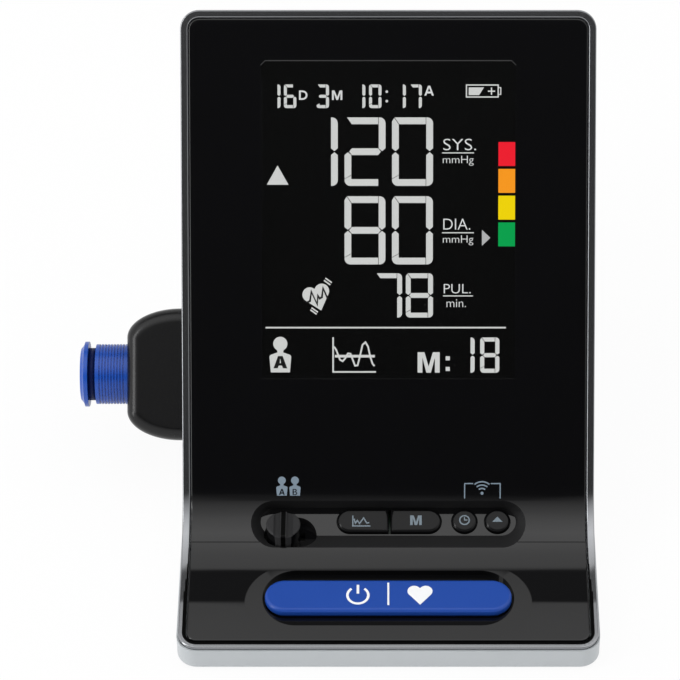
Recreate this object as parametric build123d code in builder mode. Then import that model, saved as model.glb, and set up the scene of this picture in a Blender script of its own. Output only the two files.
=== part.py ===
from build123d import *
import math
import os

# Desktop blood pressure monitor for an upper-arm cuff. An L-shaped face, a steep display that sweeps
# into a nearly level apron with keys, stands on a wedge-shaped body with an air coupling on its left.
# Millimetres. +Z up, the keys face -Y, the coupling points to -X, the feet stand on z = 0.

# ---------------------------------------------------------------- driving dimensions

# body
body_width = 110.0
body_depth = 22.0            # thickness behind the top of the display, square to the display
rear_foot = 136.0            # from the front edge of the face to the foot of the rear wall
wall = 2.0
foot_gap = 0.9               # height of the shell's underside above the table
corner_radius = 5.0
rear_top_radius = 12.0
parting_height = 12.0        # bottom shell and rear housing meet here
parting_gap = 0.1
skirt_step = 0.4             # the bottom shell's skirt stands this much prouder than the rim
skirt_top = 7.7
skirt_edge_radius = 0.8

# side profile of the face, from its front edge to its top edge
front_height = 8.6           # height of the face at its front edge
apron_slope = 6.0
apron_length = 13.9
brow_radius = 40.0           # soft convex edge between apron and shelf
shelf_slope = 3.0
shelf_length = 7.4
low_sweep_radius = 52.0
crease_slope = 14.5          # slope of the face where the two sweeps meet
high_sweep_radius = 24.0
display_slope = 50.5
display_length = 127.0

# rim, face panel and its window
rim_width = 2.0
rim_depth = 0.8
rim_edge_radius = 0.35
panel_gap = 0.25             # groove between rim and face panel
panel_thickness = 2.5
panel_edge_radius = 0.4
ledge_width = 1.6
ledge_depth = 1.5
fit_gap = 0.1                # clearance of parts that are seated in each other
window_width = 67.5
window_height = 84.6
window_centre = 71.4         # from the lower end of the display to the window's centre
window_corner = 1.2
window_thickness = 1.5
window_lip = 0.5
crease_depth = 0.15          # fine groove where the two sweeps meet

# key trough
trough_slope = 20.0
trough_foot_distance = 37.6  # from the front edge of the face to the foot of the trough's front wall
trough_foot_height = 10.3
trough_margin = 1.6          # trough floor past the outermost round key
trough_floor_height = 8.0
trough_rise = 7.0            # height over which the trough's flared walls are drawn
trough_front_flare = 10.0
trough_rear_flare = 0.2
trough_side_flare = 5.4
tub_wall = 1.4

# small keys
key_height = 6.8
pill_left = -13.7
pill_right = 14.2
pill_seam = 0.35
seam_gap = 0.5
clock_x = 20.4
up_x = 29.2
key_stand = 1.3              # height of a key's top above the trough floor
key_round = 0.9
key_gap = 0.2
key_travel = 0.5
flange_reach = 0.8
flange_thickness = 0.7
flange_gap = 0.05

# user switch
knob_diameter = 9.2
knob_x = -28.0               # at rest the knob stands at its left stop
knob_distance = 37.4
knob_top = 15.3
knob_floor = 9.8
knob_travel = 3.6
knob_end_gap = 0.65
knob_side_gap = 0.5
knob_lift = 0.12
knob_ridge_width = 1.7
knob_ridge_height = 0.7
stem_size = 3.0
slider_width = 4.4
slider_height = 0.9

# start/stop bar button and its dish
bar_length = 65.0
bar_height = 10.5
bar_distance = 16.1          # from the front edge of the face to the button's centre
bar_stand = 0.8              # height of the button's top above the face around it
bar_round = 1.0
bar_travel = 0.5
dish_length = 75.6
dish_height = 23.0
dish_distance = 14.75
dish_depth = 0.5
well_margin_x = 0.65
well_margin_y = 3.5
well_depth = 1.3             # below the dish
bar_gap = 0.25

# switches and boards
tact_size = 5.2
tact_body = 1.1
tact_plunger = 0.4
tact_plunger_diameter = 2.6
press_gap = 0.55             # from a key's flange to its switch at rest
small_board = 0.8
key_board_left = -15.5
key_board_right = 34.5
key_board_front = -4.8
key_board_rear = 10.0
key_screw_row = 7.8
bar_board_front = 8.5
bar_board_rear = 23.5
bar_board_half = 34.0
lobe_left = -36.0
lobe_right = -19.5
lobe_rear = 43.0
bar_screw_x = 28.0
screw_diameter = 1.8
screw_head_diameter = 3.4
screw_head_height = 1.1
post_diameter = 4.6

# display stack, measured behind the face
glass_overlap = 1.3          # display glass past the window's opening, all round
glass_thickness = 1.8
light_thickness = 3.0
contact_ledge = 3.5          # bare strip of glass below the light guide
holder_wall = 2.6
holder_lip = 1.4
ear_size = 6.0
ear_screw_depth = 5.0        # thread of the holder's screws in the panel's bosses
main_board_gap = 3.0
board_overhang = 1.3         # main board past the display glass, on each side
board_post_inset = 3.0       # board posts inside the glass's edge
board_post_drop = 2.0        # lower board posts above the lower ears
main_board_height = 84.0
main_board_thickness = 1.6
board_shift = 4.0            # the main board sits this much higher than the window

# battery bay
cell_diameter = 14.2
cell_length = 50.0
cell_count = 4
cell_pitch = 14.6
contact_room = 3.2
bay_front = 60.0
bay_wall = 1.6
door_thickness = 2.0
door_gap = 0.3
contact_thickness = 0.4

# pump, valve and air path
motor_diameter = 24.0
motor_length = 30.0
motor_left = 8.0
can_thickness = 1.0
rotor_diameter = 19.0
shaft_diameter = 2.0
shaft_gap = 0.05
eccentric_diameter = 8.0
eccentric_offset = 1.0
pump_distance = 107.0
cradle_floor = 1.5
cradle_wall = 2.0
head_length = 16.0
tube_diameter = 5.0
valve_width = 12.0
valve_length = 20.0
plunger_diameter = 4.0
plunger_travel = 0.8

# air coupling on the left side
coupling_distance = 79.9
coupling_height = 28.9
pod_slope = 45.0             # the pod's flat front leans back a little less than the display
pod_height = 35.6            # along that slope
pod_reach = 15.45
pod_round_reach = 14.4
pod_round_radius = 7.9
pod_wall = 2.4
pod_edge_radius = 3.6        # round the pod's flat front
pod_back_radius = 4.0
spigot_diameter = 22.0
coupling_diameter = 16.3
coupling_length = 8.9
shank_diameter = 13.0
rib_count = 9
rib_depth = 0.35
rib_width = 0.45
rib_margin = 0.8             # plain band at each end of the ribs
shank_show = 1.0             # shank past the nut
collar_bore_depth = 9.3      # from the pod's end to the floor of the collar's bore
tube_seat = 0.3              # a tube's end stays this far from the shoulder of its barb
mouth_diameter = 14.7
mouth_depth = 3.2
collar_bore_diameter = 10.2
neck_diameter = 14.2
neck_show = 2.0
collar_flange_diameter = 17.7
collar_flange_thickness = 2.1
collar_travel = 1.5
collar_sleeve_diameter = 10.0
collar_sleeve_length = 8.0
port_diameter = 6.0
air_bore_diameter = 3.4
barb_diameter = 4.9
nut_width = 18.0
nut_thickness = 3.5

# feet and housing screws
pad_diameter = 10.0
pad_recess = 0.6
pad_x = 46.0
pad_front = 11.0
pad_rear = 126.0
boss_diameter = 7.0
boss_x = 47.5
boss_front = 64.0
boss_rear = 106.0
boss_top = 26.0
housing_screw_diameter = 3.0
housing_head_diameter = 5.6
housing_head_height = 2.2
tower_wall = 1.2             # the screw towers in the shell are this much wider than the bosses above
head_room = 0.3              # round a housing screw's head

# ---------------------------------------------------------------- the frame and its planes

coupling_end = body_width / 2 + pod_reach + coupling_length + neck_show + collar_flange_thickness
body_x = (coupling_end - body_width / 2 - skirt_step) / 2


def cosd(angle):
    return math.cos(math.radians(angle))


def sind(angle):
    return math.sin(math.radians(angle))


def face_stations(depth=0.0, front_inset=0.0, top_inset=0.0):
    """Corners of the side profile at a depth behind the face, each arc with its middle point."""
    distance = front_inset * cosd(apron_slope) + depth * sind(apron_slope)
    height = front_height + front_inset * sind(apron_slope) - depth * cosd(apron_slope)
    stations = [(distance, height)]

    def straight(length, slope):
        last = stations[-1]
        stations.append((last[0] + length * cosd(slope), last[1] + length * sind(slope)))

    def bend(radius, start, end):
        last = stations[-1]
        side = 1 if end > start else -1
        for slope in ((start + end) / 2, end):
            across = side * radius * (sind(slope) - sind(start))
            up = side * radius * (cosd(start) - cosd(slope))
            stations.append((last[0] + across, last[1] + up))

    straight(apron_length - front_inset, apron_slope)
    bend(brow_radius - depth, apron_slope, shelf_slope)
    straight(shelf_length, shelf_slope)
    bend(low_sweep_radius + depth, shelf_slope, crease_slope)
    bend(high_sweep_radius + depth, crease_slope, display_slope)
    straight(display_length - top_inset, display_slope)
    return stations


face = face_stations()
crease_point = face[6]
display_foot = face[8]
display_head = face[9]
rear_top = (display_head[0] + body_depth * sind(display_slope),
            display_head[1] - body_depth * cosd(display_slope))
rear_wall_length = math.hypot(rear_foot - rear_top[0], foot_gap - rear_top[1])
top_run = (-sind(display_slope), cosd(display_slope))
rear_run = ((rear_foot - rear_top[0]) / rear_wall_length, (foot_gap - rear_top[1]) / rear_wall_length)
corner_turn = abs(top_run[0] * rear_run[1] - top_run[1] * rear_run[0])
# the rounded rear corner's furthest point behind the front edge
rear_reach = rear_top[0] + rear_top_radius * (1 + (top_run[0] + rear_run[0]) / corner_turn)
total_depth = rear_reach + skirt_step
front_y = skirt_step - total_depth / 2
half = body_width / 2

side = Plane(origin=(body_x, front_y, 0), x_dir=(0, 1, 0), z_dir=(1, 0, 0))
display_normal = (0, -sind(display_slope), cosd(display_slope))
apron_normal = (0, -sind(apron_slope), cosd(apron_slope))


def sloped_plane(distance, height, slope, lift=0.0, x=0.0):
    """Plane that leans back by slope, its local +Y up the slope, raised by lift along its normal."""
    origin = (body_x + x, front_y + distance - lift * sind(slope), height + lift * cosd(slope))
    return Plane(origin=origin, x_dir=(1, 0, 0), z_dir=(0, -sind(slope), cosd(slope)))


def display_level(depth):
    """Plane behind the display face, centred on the window."""
    distance = display_foot[0] + window_centre * cosd(display_slope)
    height = display_foot[1] + window_centre * sind(display_slope)
    return sloped_plane(distance, height, display_slope, -depth)


def trough_level(lift):
    """Plane above the trough floor, centred on it."""
    distance = trough_foot_distance + trough_floor_height / 2 * cosd(trough_slope)
    height = trough_foot_height + trough_floor_height / 2 * sind(trough_slope)
    return sloped_plane(distance, height, trough_slope, lift)


bar_face_height = front_height + bar_distance * math.tan(math.radians(apron_slope))
well_floor_drop = dish_depth + well_depth


def bar_level(lift):
    """Plane above the face at the bar button, centred on the button and square to its travel."""
    return sloped_plane(bar_distance, bar_face_height, shelf_slope, lift)


def level(height, distance=0.0, x=0.0):
    """Horizontal plane at a height, its origin on the body's mid-plane."""
    return Plane.XY.offset(height).move(Location((body_x + x, front_y + distance, 0)))


def across(x, distance, height):
    """Plane square to the X axis, facing -X, at a place given from the body's mid-plane."""
    origin = (body_x + x, front_y + distance, height)
    return Plane(origin=origin, x_dir=(0, -1, 0), z_dir=(-1, 0, 0))


# ---------------------------------------------------------------- shared shapes

def profile_edges(stations):
    """Draws the face profile through its stations in the open BuildLine."""
    Line(stations[0], stations[1])
    ThreePointArc(stations[1], stations[2], stations[3])
    Line(stations[3], stations[4])
    ThreePointArc(stations[4], stations[5], stations[6])
    ThreePointArc(stations[6], stations[7], stations[8])
    Line(stations[8], stations[9])


def face_slab(upper, lower, inset):
    """Sheet that follows the face between two depths, inset from the body's outline all round."""
    top = face_stations(upper, inset, inset)
    bottom = face_stations(lower, inset, inset)
    with BuildPart() as slab:
        with BuildSketch(side):
            with BuildLine():
                profile_edges(top)
                profile_edges(bottom)
                Line(top[0], bottom[0])
                Line(top[-1], bottom[-1])
            make_face()
        extrude(amount=half - inset, both=True)
        corners = slab.edges().filter_by(Axis((0, 0, 0), display_normal))
        corners += slab.edges().filter_by(Axis((0, 0, 0), apron_normal))
        fillet(corners, corner_radius - inset)
    return slab.part


def body_block(face_depth, inset):
    """Wedge under the face: side profile inset from the body's outline, with rounded corners."""
    top = face_stations(face_depth)
    with BuildPart() as block:
        with BuildSketch(side):
            with BuildLine():
                profile_edges(top)
                Polyline(top[-1], rear_top, (rear_foot, foot_gap), (top[0][0], foot_gap), top[0])
            make_face()
            fillet(vertices().sort_by(Axis.X)[-1], rear_top_radius)
            if inset:
                offset(amount=-inset, kind=Kind.INTERSECTION, mode=Mode.REPLACE)
        extrude(amount=half - inset, both=True)
        uprights = block.edges().filter_by(lambda edge: abs(edge.center().X - body_x) > half - inset - 0.01)
        rear = front_y + display_head[0] - rear_top_radius
        uprights = uprights.filter_by(lambda edge: edge.center().Y > rear)
        fronts = block.edges().filter_by(Axis.Z).group_by(Axis.Y)[0]
        fillet(uprights + fronts, corner_radius - inset)
    return block.part


def faces_user(patch):
    """True for a patch that looks up at the user, from the apron to the display."""
    normal = patch.normal_at(patch.center())
    return normal.dot(Vector(apron_normal)) > 0.5 and normal.dot(Vector(display_normal)) > 0.5


def face_edges(slab):
    """Edges all round the upper side of a slab that follows the face."""
    edges = slab.faces().filter_by(faces_user).edges()
    return edges.filter_by(lambda edge: sum(edge.is_same(other) for other in edges) == 1)


os.makedirs("parts", exist_ok=True)


# ---------------------------------------------------------------- face, rim and casing

# silver rim round the face
rim_outer = face_slab(0, rim_depth, 0)
rim_inner = face_slab(-1, rim_depth + 1, rim_width)
with BuildPart() as rim_frame:
    add(rim_outer)
    add(rim_inner, mode=Mode.SUBTRACT)
    fillet(face_edges(rim_frame), rim_edge_radius)
rim_frame.part.label = "rim_frame"
export_step(rim_frame.part, "parts/rim_frame.step")

# hollow casing as one blank, cut at the parting into bottom shell and rear housing
casing_block = body_block(rim_depth, 0)
casing_hollow = body_block(-10, wall)
ledge_outer = face_slab(panel_thickness, panel_thickness + ledge_depth, wall - 0.1)
ledge_inner = face_slab(panel_thickness - 1, panel_thickness + ledge_depth + 1, wall + ledge_width)
with BuildPart() as casing:
    add(casing_block)
    add(casing_hollow, mode=Mode.SUBTRACT)
    add(ledge_outer)
    add(ledge_inner, mode=Mode.SUBTRACT)

# light silver bottom shell: floor, skirt, posts for the boards and screw towers
cavity_floor = foot_gap + wall
bay_width = cell_count * cell_pitch + 2 * door_gap
bay_length = cell_length + 2 * contact_room
bay_rear = bay_front + bay_length
bay_centre = bay_front + bay_length / 2
screw_spots = [(x, distance) for x in (-boss_x, boss_x) for distance in (boss_front, boss_rear)]
pad_spots = [(x, distance) for x in (-pad_x, pad_x) for distance in (pad_front, pad_rear)]
skirt_length = rear_foot + 2 * skirt_step
skirt_width = body_width + 2 * skirt_step
key_posts = [(key_board_left + post_diameter / 2, key_screw_row),
             (key_board_right - post_diameter / 2, key_screw_row)]
key_board_level = -tub_wall - flange_gap - flange_thickness - press_gap - tact_body - tact_plunger
bar_board_level = key_board_level - well_floor_drop
bar_board_middle = (bar_board_front + bar_board_rear) / 2 - bar_distance
bar_posts = [(-bar_screw_x, bar_board_middle), (bar_screw_x, bar_board_middle)]

with BuildPart() as bottom_shell:
    add(casing)
    split(bisect_by=Plane.XY.offset(parting_height - parting_gap / 2), keep=Keep.BOTTOM)
    with BuildSketch(level(foot_gap, rear_foot / 2)):
        RectangleRounded(skirt_width, skirt_length, corner_radius + skirt_step)
        RectangleRounded(skirt_width - 2 * wall, skirt_length - 2 * wall, corner_radius - wall,
                         mode=Mode.SUBTRACT)
    extrude(amount=skirt_top - foot_gap)
    outer_edges = bottom_shell.edges().filter_by(Axis.Z, reverse=True).filter_by(
        lambda edge: edge.bounding_box().size.Z < fit_gap)
    fillet(outer_edges.group_by(Axis.Z)[0].sort_by(SortBy.LENGTH), skirt_edge_radius)
    # battery opening and foot recesses
    with BuildSketch(level(foot_gap, bay_centre)):
        Rectangle(bay_width, bay_length)
    extrude(amount=wall, mode=Mode.SUBTRACT)
    with BuildSketch(level(foot_gap)):
        with Locations(*pad_spots):
            Circle(pad_diameter / 2 + fit_gap)
    extrude(amount=pad_recess, mode=Mode.SUBTRACT)
    # screw towers, open from below for the screw heads
    with BuildSketch(level(foot_gap)):
        with Locations(*screw_spots):
            Circle(boss_diameter / 2 + tower_wall)
    extrude(amount=parting_height - parting_gap / 2 - foot_gap)
    with BuildSketch(level(foot_gap)):
        with Locations(*screw_spots):
            Circle(housing_head_diameter / 2 + head_room)
    extrude(amount=parting_height - foot_gap - 2 * wall, mode=Mode.SUBTRACT)
    with BuildSketch(level(foot_gap)):
        with Locations(*screw_spots):
            Circle(housing_screw_diameter / 2 + fit_gap)
    extrude(amount=parting_height, mode=Mode.SUBTRACT)
    # posts under the key board and the bar's board
    for spots, place in ((key_posts, trough_level(key_board_level - small_board)),
                         (bar_posts, bar_level(bar_board_level - small_board))):
        with BuildSketch(place):
            with Locations(*spots):
                Circle(post_diameter / 2)
        extrude(until=Until.NEXT, dir=(0, 0, -1))
        with BuildSketch(place):
            with Locations(*spots):
                Circle(screw_diameter / 2)
        extrude(amount=-wall / 2, mode=Mode.SUBTRACT)
bottom_shell.part.label = "bottom_shell"
export_step(bottom_shell.part, "parts/bottom_shell.step")

# silver rear housing with its screw bosses and the hole for the coupling's pod
with BuildPart() as rear_housing:
    add(casing)
    split(bisect_by=Plane.XY.offset(parting_height + parting_gap / 2), keep=Keep.TOP)
    with BuildSketch(level(parting_height + parting_gap / 2)):
        with Locations(*screw_spots):
            Circle(boss_diameter / 2)
        for x, distance in screw_spots:
            middle = math.copysign((boss_x + half - wall / 2) / 2, x)
            with Locations((middle, distance)):
                Rectangle(half - wall / 2 - boss_x, wall)
    extrude(amount=boss_top - parting_height)
    with BuildSketch(level(parting_height + parting_gap / 2)):
        with Locations(*screw_spots):
            Circle(housing_screw_diameter / 2)
    extrude(amount=boss_top - parting_height - wall, mode=Mode.SUBTRACT)
    with BuildSketch(across(-half, coupling_distance, coupling_height)):
        Circle(spigot_diameter / 2 + fit_gap / 2)
    extrude(amount=-2 * wall, mode=Mode.SUBTRACT)
rear_housing.part.label = "rear_housing"
export_step(rear_housing.part, "parts/rear_housing.step")

# ---------------------------------------------------------------- face panel

def flared(width, height, base, rise, side_flare, front_flare, rear_flare, grow):
    """Trough shape: a stadium at the base level that flares out as it rises."""
    with BuildPart() as shape:
        with BuildSketch(trough_level(base)):
            SlotOverall(width + 2 * grow, height + 2 * grow)
        with BuildSketch(trough_level(base + rise)):
            with Locations((0, (rear_flare - front_flare) / 2)):
                SlotOverall(width + 2 * side_flare + 2 * grow,
                            height + front_flare + rear_flare + 2 * grow)
        loft(ruled=True)
    return shape.part


trough_floor_width = 2 * (up_x + key_height / 2 + trough_margin)
trough_size = (trough_floor_width, trough_floor_height)
trough_flare = (trough_side_flare, trough_front_flare, trough_rear_flare)
trough_tub = flared(*trough_size, -tub_wall, trough_rise, *trough_flare, tub_wall)
trough_hollow = flared(*trough_size, 0, trough_rise, *trough_flare, 0)
knob_slot_length = knob_diameter + knob_travel + 2 * knob_end_gap
knob_slot_depth = knob_diameter + 2 * knob_side_gap
knob_slot_x = knob_x + knob_travel / 2
well_length = bar_length + 2 * well_margin_x
well_height = bar_height + 2 * well_margin_y
pill_centre = (pill_left + pill_right) / 2
pill_length = pill_right - pill_left
panel_inset = rim_width + panel_gap

# everything that hangs under the face panel, kept below the face
with BuildPart() as tubs:
    add(trough_tub)
    with BuildSketch(level(knob_floor - tub_wall, knob_distance, knob_slot_x)):
        SlotOverall(knob_slot_length + 2 * tub_wall, knob_slot_depth + 2 * tub_wall)
    extrude(amount=knob_top - knob_floor + tub_wall)
    with BuildSketch(bar_level(-well_floor_drop - tub_wall)):
        SlotOverall(well_length + 2 * tub_wall, well_height + 2 * tub_wall)
    extrude(amount=well_floor_drop + tub_wall)
    with BuildSketch(display_level(panel_thickness + ledge_depth)):
        Rectangle(window_width + 2 * tub_wall, window_height + 2 * tub_wall)
    extrude(amount=panel_thickness)
    add(face_slab(0.1, body_depth / 2, panel_inset), mode=Mode.INTERSECT)

panel_sheet = face_slab(0, panel_thickness, panel_inset)
window_back = panel_thickness + ledge_depth
glass_front = window_back + fit_gap
glass_width = window_width - 2 * window_lip + 2 * glass_overlap
glass_height = window_height - 2 * window_lip + 2 * glass_overlap
light_front = glass_front + glass_thickness
light_back = light_front + light_thickness
holder_back = light_back + holder_lip
ear_x = glass_width / 2 + holder_wall + ear_size / 2
ear_y = glass_height / 2 - ear_size
ear_spots = [(x, y) for x in (-ear_x, ear_x) for y in (-ear_y, ear_y)]

with BuildPart() as face_panel:
    add(panel_sheet)
    fillet(face_edges(face_panel), panel_edge_radius)
    add(tubs)
    # bosses for the display holder's screws
    with BuildSketch(display_level(light_back)):
        with Locations(*ear_spots):
            Circle(post_diameter / 2)
    extrude(amount=light_back - panel_thickness / 2)
    with BuildSketch(display_level(light_back)):
        with Locations(*ear_spots):
            Circle(screw_diameter / 2)
    extrude(amount=ear_screw_depth, mode=Mode.SUBTRACT)
    # window: a seat for the lens and a smaller opening behind it
    with BuildSketch(display_level(0)) as window_seat:
        Rectangle(window_width + 2 * fit_gap, window_height + 2 * fit_gap)
        chamfer(window_seat.vertices().group_by(Axis.Y)[-1], window_corner)
    extrude(amount=-window_thickness, mode=Mode.SUBTRACT)
    with BuildSketch(display_level(0)):
        Rectangle(window_width - 2 * window_lip, window_height - 2 * window_lip)
    extrude(amount=-window_back, mode=Mode.SUBTRACT)
    # key trough, knob pocket and the openings in their floors
    add(trough_hollow, mode=Mode.SUBTRACT)
    with BuildSketch(level(knob_floor, knob_distance, knob_slot_x)):
        SlotOverall(knob_slot_length, knob_slot_depth)
    extrude(amount=body_depth, mode=Mode.SUBTRACT)
    with BuildSketch(level(knob_floor, knob_distance, knob_slot_x)):
        Rectangle(stem_size + knob_travel + 2 * knob_end_gap, stem_size + 2 * key_gap)
    extrude(amount=-2 * tub_wall, mode=Mode.SUBTRACT)
    with BuildSketch(trough_level(0)):
        with Locations((pill_centre, 0)):
            SlotOverall(pill_length + 2 * key_gap, key_height + 2 * key_gap)
        with Locations((clock_x, 0), (up_x, 0)):
            Circle(key_height / 2 + key_gap)
    extrude(amount=-2 * tub_wall, mode=Mode.SUBTRACT)
    # dish and well of the bar button, with the opening for its body
    with BuildSketch(sloped_plane(dish_distance, front_height, apron_slope,
                                  dish_distance * sind(apron_slope) - dish_depth)):
        SlotOverall(dish_length, dish_height)
    extrude(amount=body_depth, mode=Mode.SUBTRACT)
    with BuildSketch(bar_level(-well_floor_drop)):
        SlotOverall(well_length, well_height)
    extrude(amount=body_depth, mode=Mode.SUBTRACT)
    with BuildSketch(bar_level(-well_floor_drop)):
        SlotOverall(bar_length - 2 * bar_gap, bar_height - 2 * bar_gap)
    extrude(amount=-2 * tub_wall, mode=Mode.SUBTRACT)
    # fine crease where the apron's sweep turns up to the display
    with BuildSketch(side):
        with Locations(crease_point):
            Circle(crease_depth)
    extrude(amount=half, both=True, mode=Mode.SUBTRACT)
face_panel.part.label = "face_panel"
export_step(face_panel.part, "parts/face_panel.step")

# clear lens over the display, flush with the face
with BuildPart() as display_window:
    with BuildSketch(display_level(0)) as lens_outline:
        Rectangle(window_width, window_height)
        chamfer(lens_outline.vertices().group_by(Axis.Y)[-1], window_corner)
    extrude(amount=-window_thickness)
display_window.part.label = "display_window"
export_step(display_window.part, "parts/display_window.step")

# ---------------------------------------------------------------- keys and the user switch

flange_level = -tub_wall - flange_gap
key_body_depth = key_stand - flange_level


def pill_half(place, grow, left):
    """Half of the divided pill outline, grown all round except at the seam."""
    with BuildSketch(place) as outline:
        with Locations((pill_centre, 0)):
            SlotOverall(pill_length + 2 * grow, key_height + 2 * grow)
        if left:
            seam, far = pill_seam - seam_gap / 2, pill_left - 2 * grow - 1
        else:
            seam, far = pill_seam + seam_gap / 2, pill_right + 2 * grow + 1
        with Locations(((seam + far) / 2, 0)):
            Rectangle(abs(far - seam), 2 * key_height, mode=Mode.INTERSECT)
    return outline.sketch


def key(body_outline, flange_outline):
    """Key with a rounded top and a flange that holds it under the panel."""
    with BuildPart() as cap:
        add(body_outline)
        extrude(amount=key_body_depth, dir=trough_level(0).z_dir)
        top = cap.faces().sort_by(Axis((0, 0, 0), trough_level(0).z_dir))[-1]
        fillet(top.edges(), key_round)
        add(flange_outline)
        extrude(amount=-flange_thickness, dir=trough_level(0).z_dir)
    return cap.part


def round_key_outline(x, radius):
    with BuildSketch(trough_level(flange_level)) as outline:
        with Locations((x, 0)):
            Circle(radius)
    return outline.sketch


with BuildPart() as average_button:
    add(key(pill_half(trough_level(flange_level), 0, True),
            pill_half(trough_level(flange_level), flange_reach, True)))
average_button.part.label = "average_button"
export_step(average_button.part, "parts/average_button.step")

with BuildPart() as memory_button:
    add(key(pill_half(trough_level(flange_level), 0, False),
            pill_half(trough_level(flange_level), flange_reach, False)))
memory_button.part.label = "memory_button"
export_step(memory_button.part, "parts/memory_button.step")

with BuildPart() as clock_button:
    add(key(round_key_outline(clock_x, key_height / 2),
            round_key_outline(clock_x, key_height / 2 + flange_reach)))
clock_button.part.label = "clock_button"
export_step(clock_button.part, "parts/clock_button.step")

with BuildPart() as up_button:
    add(key(round_key_outline(up_x, key_height / 2),
            round_key_outline(up_x, key_height / 2 + flange_reach)))
up_button.part.label = "up_button"
export_step(up_button.part, "parts/up_button.step")

# blue start/stop bar: a domed cap on a foot that passes the panel, with a flange below
with BuildPart() as start_stop_button:
    with BuildSketch(bar_level(-well_floor_drop + key_gap + bar_travel)):
        SlotOverall(bar_length, bar_height)
    extrude(amount=well_floor_drop - key_gap - bar_travel + bar_stand)
    top = start_stop_button.faces().sort_by(Axis((0, 0, 0), bar_level(0).z_dir))[-1]
    fillet(top.edges(), bar_round)
    with BuildSketch(bar_level(-well_floor_drop + flange_level)):
        SlotOverall(bar_length - 4 * bar_gap, bar_height - 4 * bar_gap)
    extrude(amount=well_floor_drop - flange_level)
    with BuildSketch(bar_level(-well_floor_drop + flange_level)):
        SlotOverall(bar_length + flange_reach, bar_height + flange_reach)
    extrude(amount=-flange_thickness)
start_stop_button.part.label = "start_stop_button"
export_step(start_stop_button.part, "parts/start_stop_button.step")

# user switch: a round knob with a finger ridge, its square stem reaching the slide switch below
slider_top = knob_floor - tub_wall - 2 * flange_gap
with BuildPart() as user_switch_knob:
    with BuildSketch(level(knob_floor + knob_lift, knob_distance, knob_x)):
        Circle(knob_diameter / 2)
    extrude(amount=knob_top - knob_floor - knob_lift)
    fillet(user_switch_knob.faces().sort_by(Axis.Z)[-1].edges(), 0.5)
    with BuildSketch(level(knob_top - knob_ridge_height, knob_distance, knob_x)):
        Rectangle(3 * knob_ridge_width, knob_diameter, mode=Mode.ADD)
        Rectangle(knob_ridge_width, knob_diameter, mode=Mode.SUBTRACT)
    extrude(amount=2 * knob_ridge_height, mode=Mode.SUBTRACT)
    with BuildSketch(level(slider_top, knob_distance, knob_x)):
        Rectangle(stem_size, stem_size)
    extrude(amount=knob_floor + 2 * knob_lift - slider_top)
user_switch_knob.part.label = "user_switch_knob"
export_step(user_switch_knob.part, "parts/user_switch_knob.step")

# ---------------------------------------------------------------- boards and switches under the keys

tact_spots = [(pill_left + pill_length / 4, 0), (pill_right - pill_length / 4, 0), (clock_x, 0), (up_x, 0)]

with BuildPart() as key_board:
    with BuildSketch(trough_level(key_board_level - small_board)):
        with Locations(((key_board_left + key_board_right) / 2, (key_board_front + key_board_rear) / 2)):
            Rectangle(key_board_right - key_board_left, key_board_rear - key_board_front)
        with Locations(*key_posts):
            Circle(screw_diameter / 2 + fit_gap, mode=Mode.SUBTRACT)
    extrude(amount=small_board)
key_board.part.label = "key_board"
export_step(key_board.part, "parts/key_board.step")

with BuildPart() as key_switches:
    with BuildSketch(trough_level(key_board_level)):
        with Locations(*tact_spots):
            Rectangle(tact_size, tact_size)
    extrude(amount=tact_body)
    with BuildSketch(trough_level(key_board_level + tact_body)):
        with Locations(*tact_spots):
            Circle(tact_plunger_diameter / 2)
    extrude(amount=tact_plunger)
key_switches.part.label = "key_switches"
export_step(key_switches.part, "parts/key_switches.step")

with BuildPart() as start_board:
    with BuildSketch(bar_level(bar_board_level - small_board)):
        with Locations((0, bar_board_middle)):
            Rectangle(2 * bar_board_half, bar_board_rear - bar_board_front)
        with Locations(((lobe_left + lobe_right) / 2, (lobe_rear + bar_board_front) / 2 - bar_distance)):
            Rectangle(lobe_right - lobe_left, lobe_rear - bar_board_front)
        with Locations(*bar_posts):
            Circle(screw_diameter / 2 + fit_gap, mode=Mode.SUBTRACT)
    extrude(amount=small_board)
start_board.part.label = "start_board"
export_step(start_board.part, "parts/start_board.step")

with BuildPart() as start_switch:
    with BuildSketch(bar_level(bar_board_level)):
        Rectangle(tact_size, tact_size)
    extrude(amount=tact_body)
    with BuildSketch(bar_level(bar_board_level + tact_body)):
        Circle(tact_plunger_diameter / 2)
    extrude(amount=tact_plunger)
start_switch.part.label = "start_switch"
export_step(start_switch.part, "parts/start_switch.step")

# slide switch on the start board's lobe, its slider clipped to the knob's stem
with BuildPart() as switch_slider:
    with BuildSketch(level(slider_top, knob_distance, knob_x)):
        Rectangle(slider_width, slider_width)
    extrude(amount=-slider_height)
switch_slider.part.label = "switch_slider"
export_step(switch_slider.part, "parts/switch_slider.step")

slide_body_top = slider_top - slider_height - flange_gap
with BuildPart() as slide_switch:
    with BuildSketch(level(slide_body_top, knob_distance, knob_slot_x)):
        Rectangle(slider_width + knob_travel + 2, slider_width + 2)
    extrude(until=Until.NEXT, target=start_board.part, dir=(0, 0, -1))
slide_switch.part.label = "slide_switch"
export_step(slide_switch.part, "parts/slide_switch.step")

# ---------------------------------------------------------------- display stack and main board

board_front = holder_back + main_board_gap
board_back = board_front + main_board_thickness
board_post_x = glass_width / 2 - board_post_inset
main_board_width = glass_width + 2 * board_overhang
board_posts = [(x, y) for x in (-board_post_x, board_post_x) for y in (-ear_y + board_post_drop, ear_y)]

with BuildPart() as lcd_glass:
    with BuildSketch(display_level(glass_front)):
        Rectangle(glass_width, glass_height)
    extrude(amount=-glass_thickness)
lcd_glass.part.label = "lcd_glass"
export_step(lcd_glass.part, "parts/lcd_glass.step")

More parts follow.
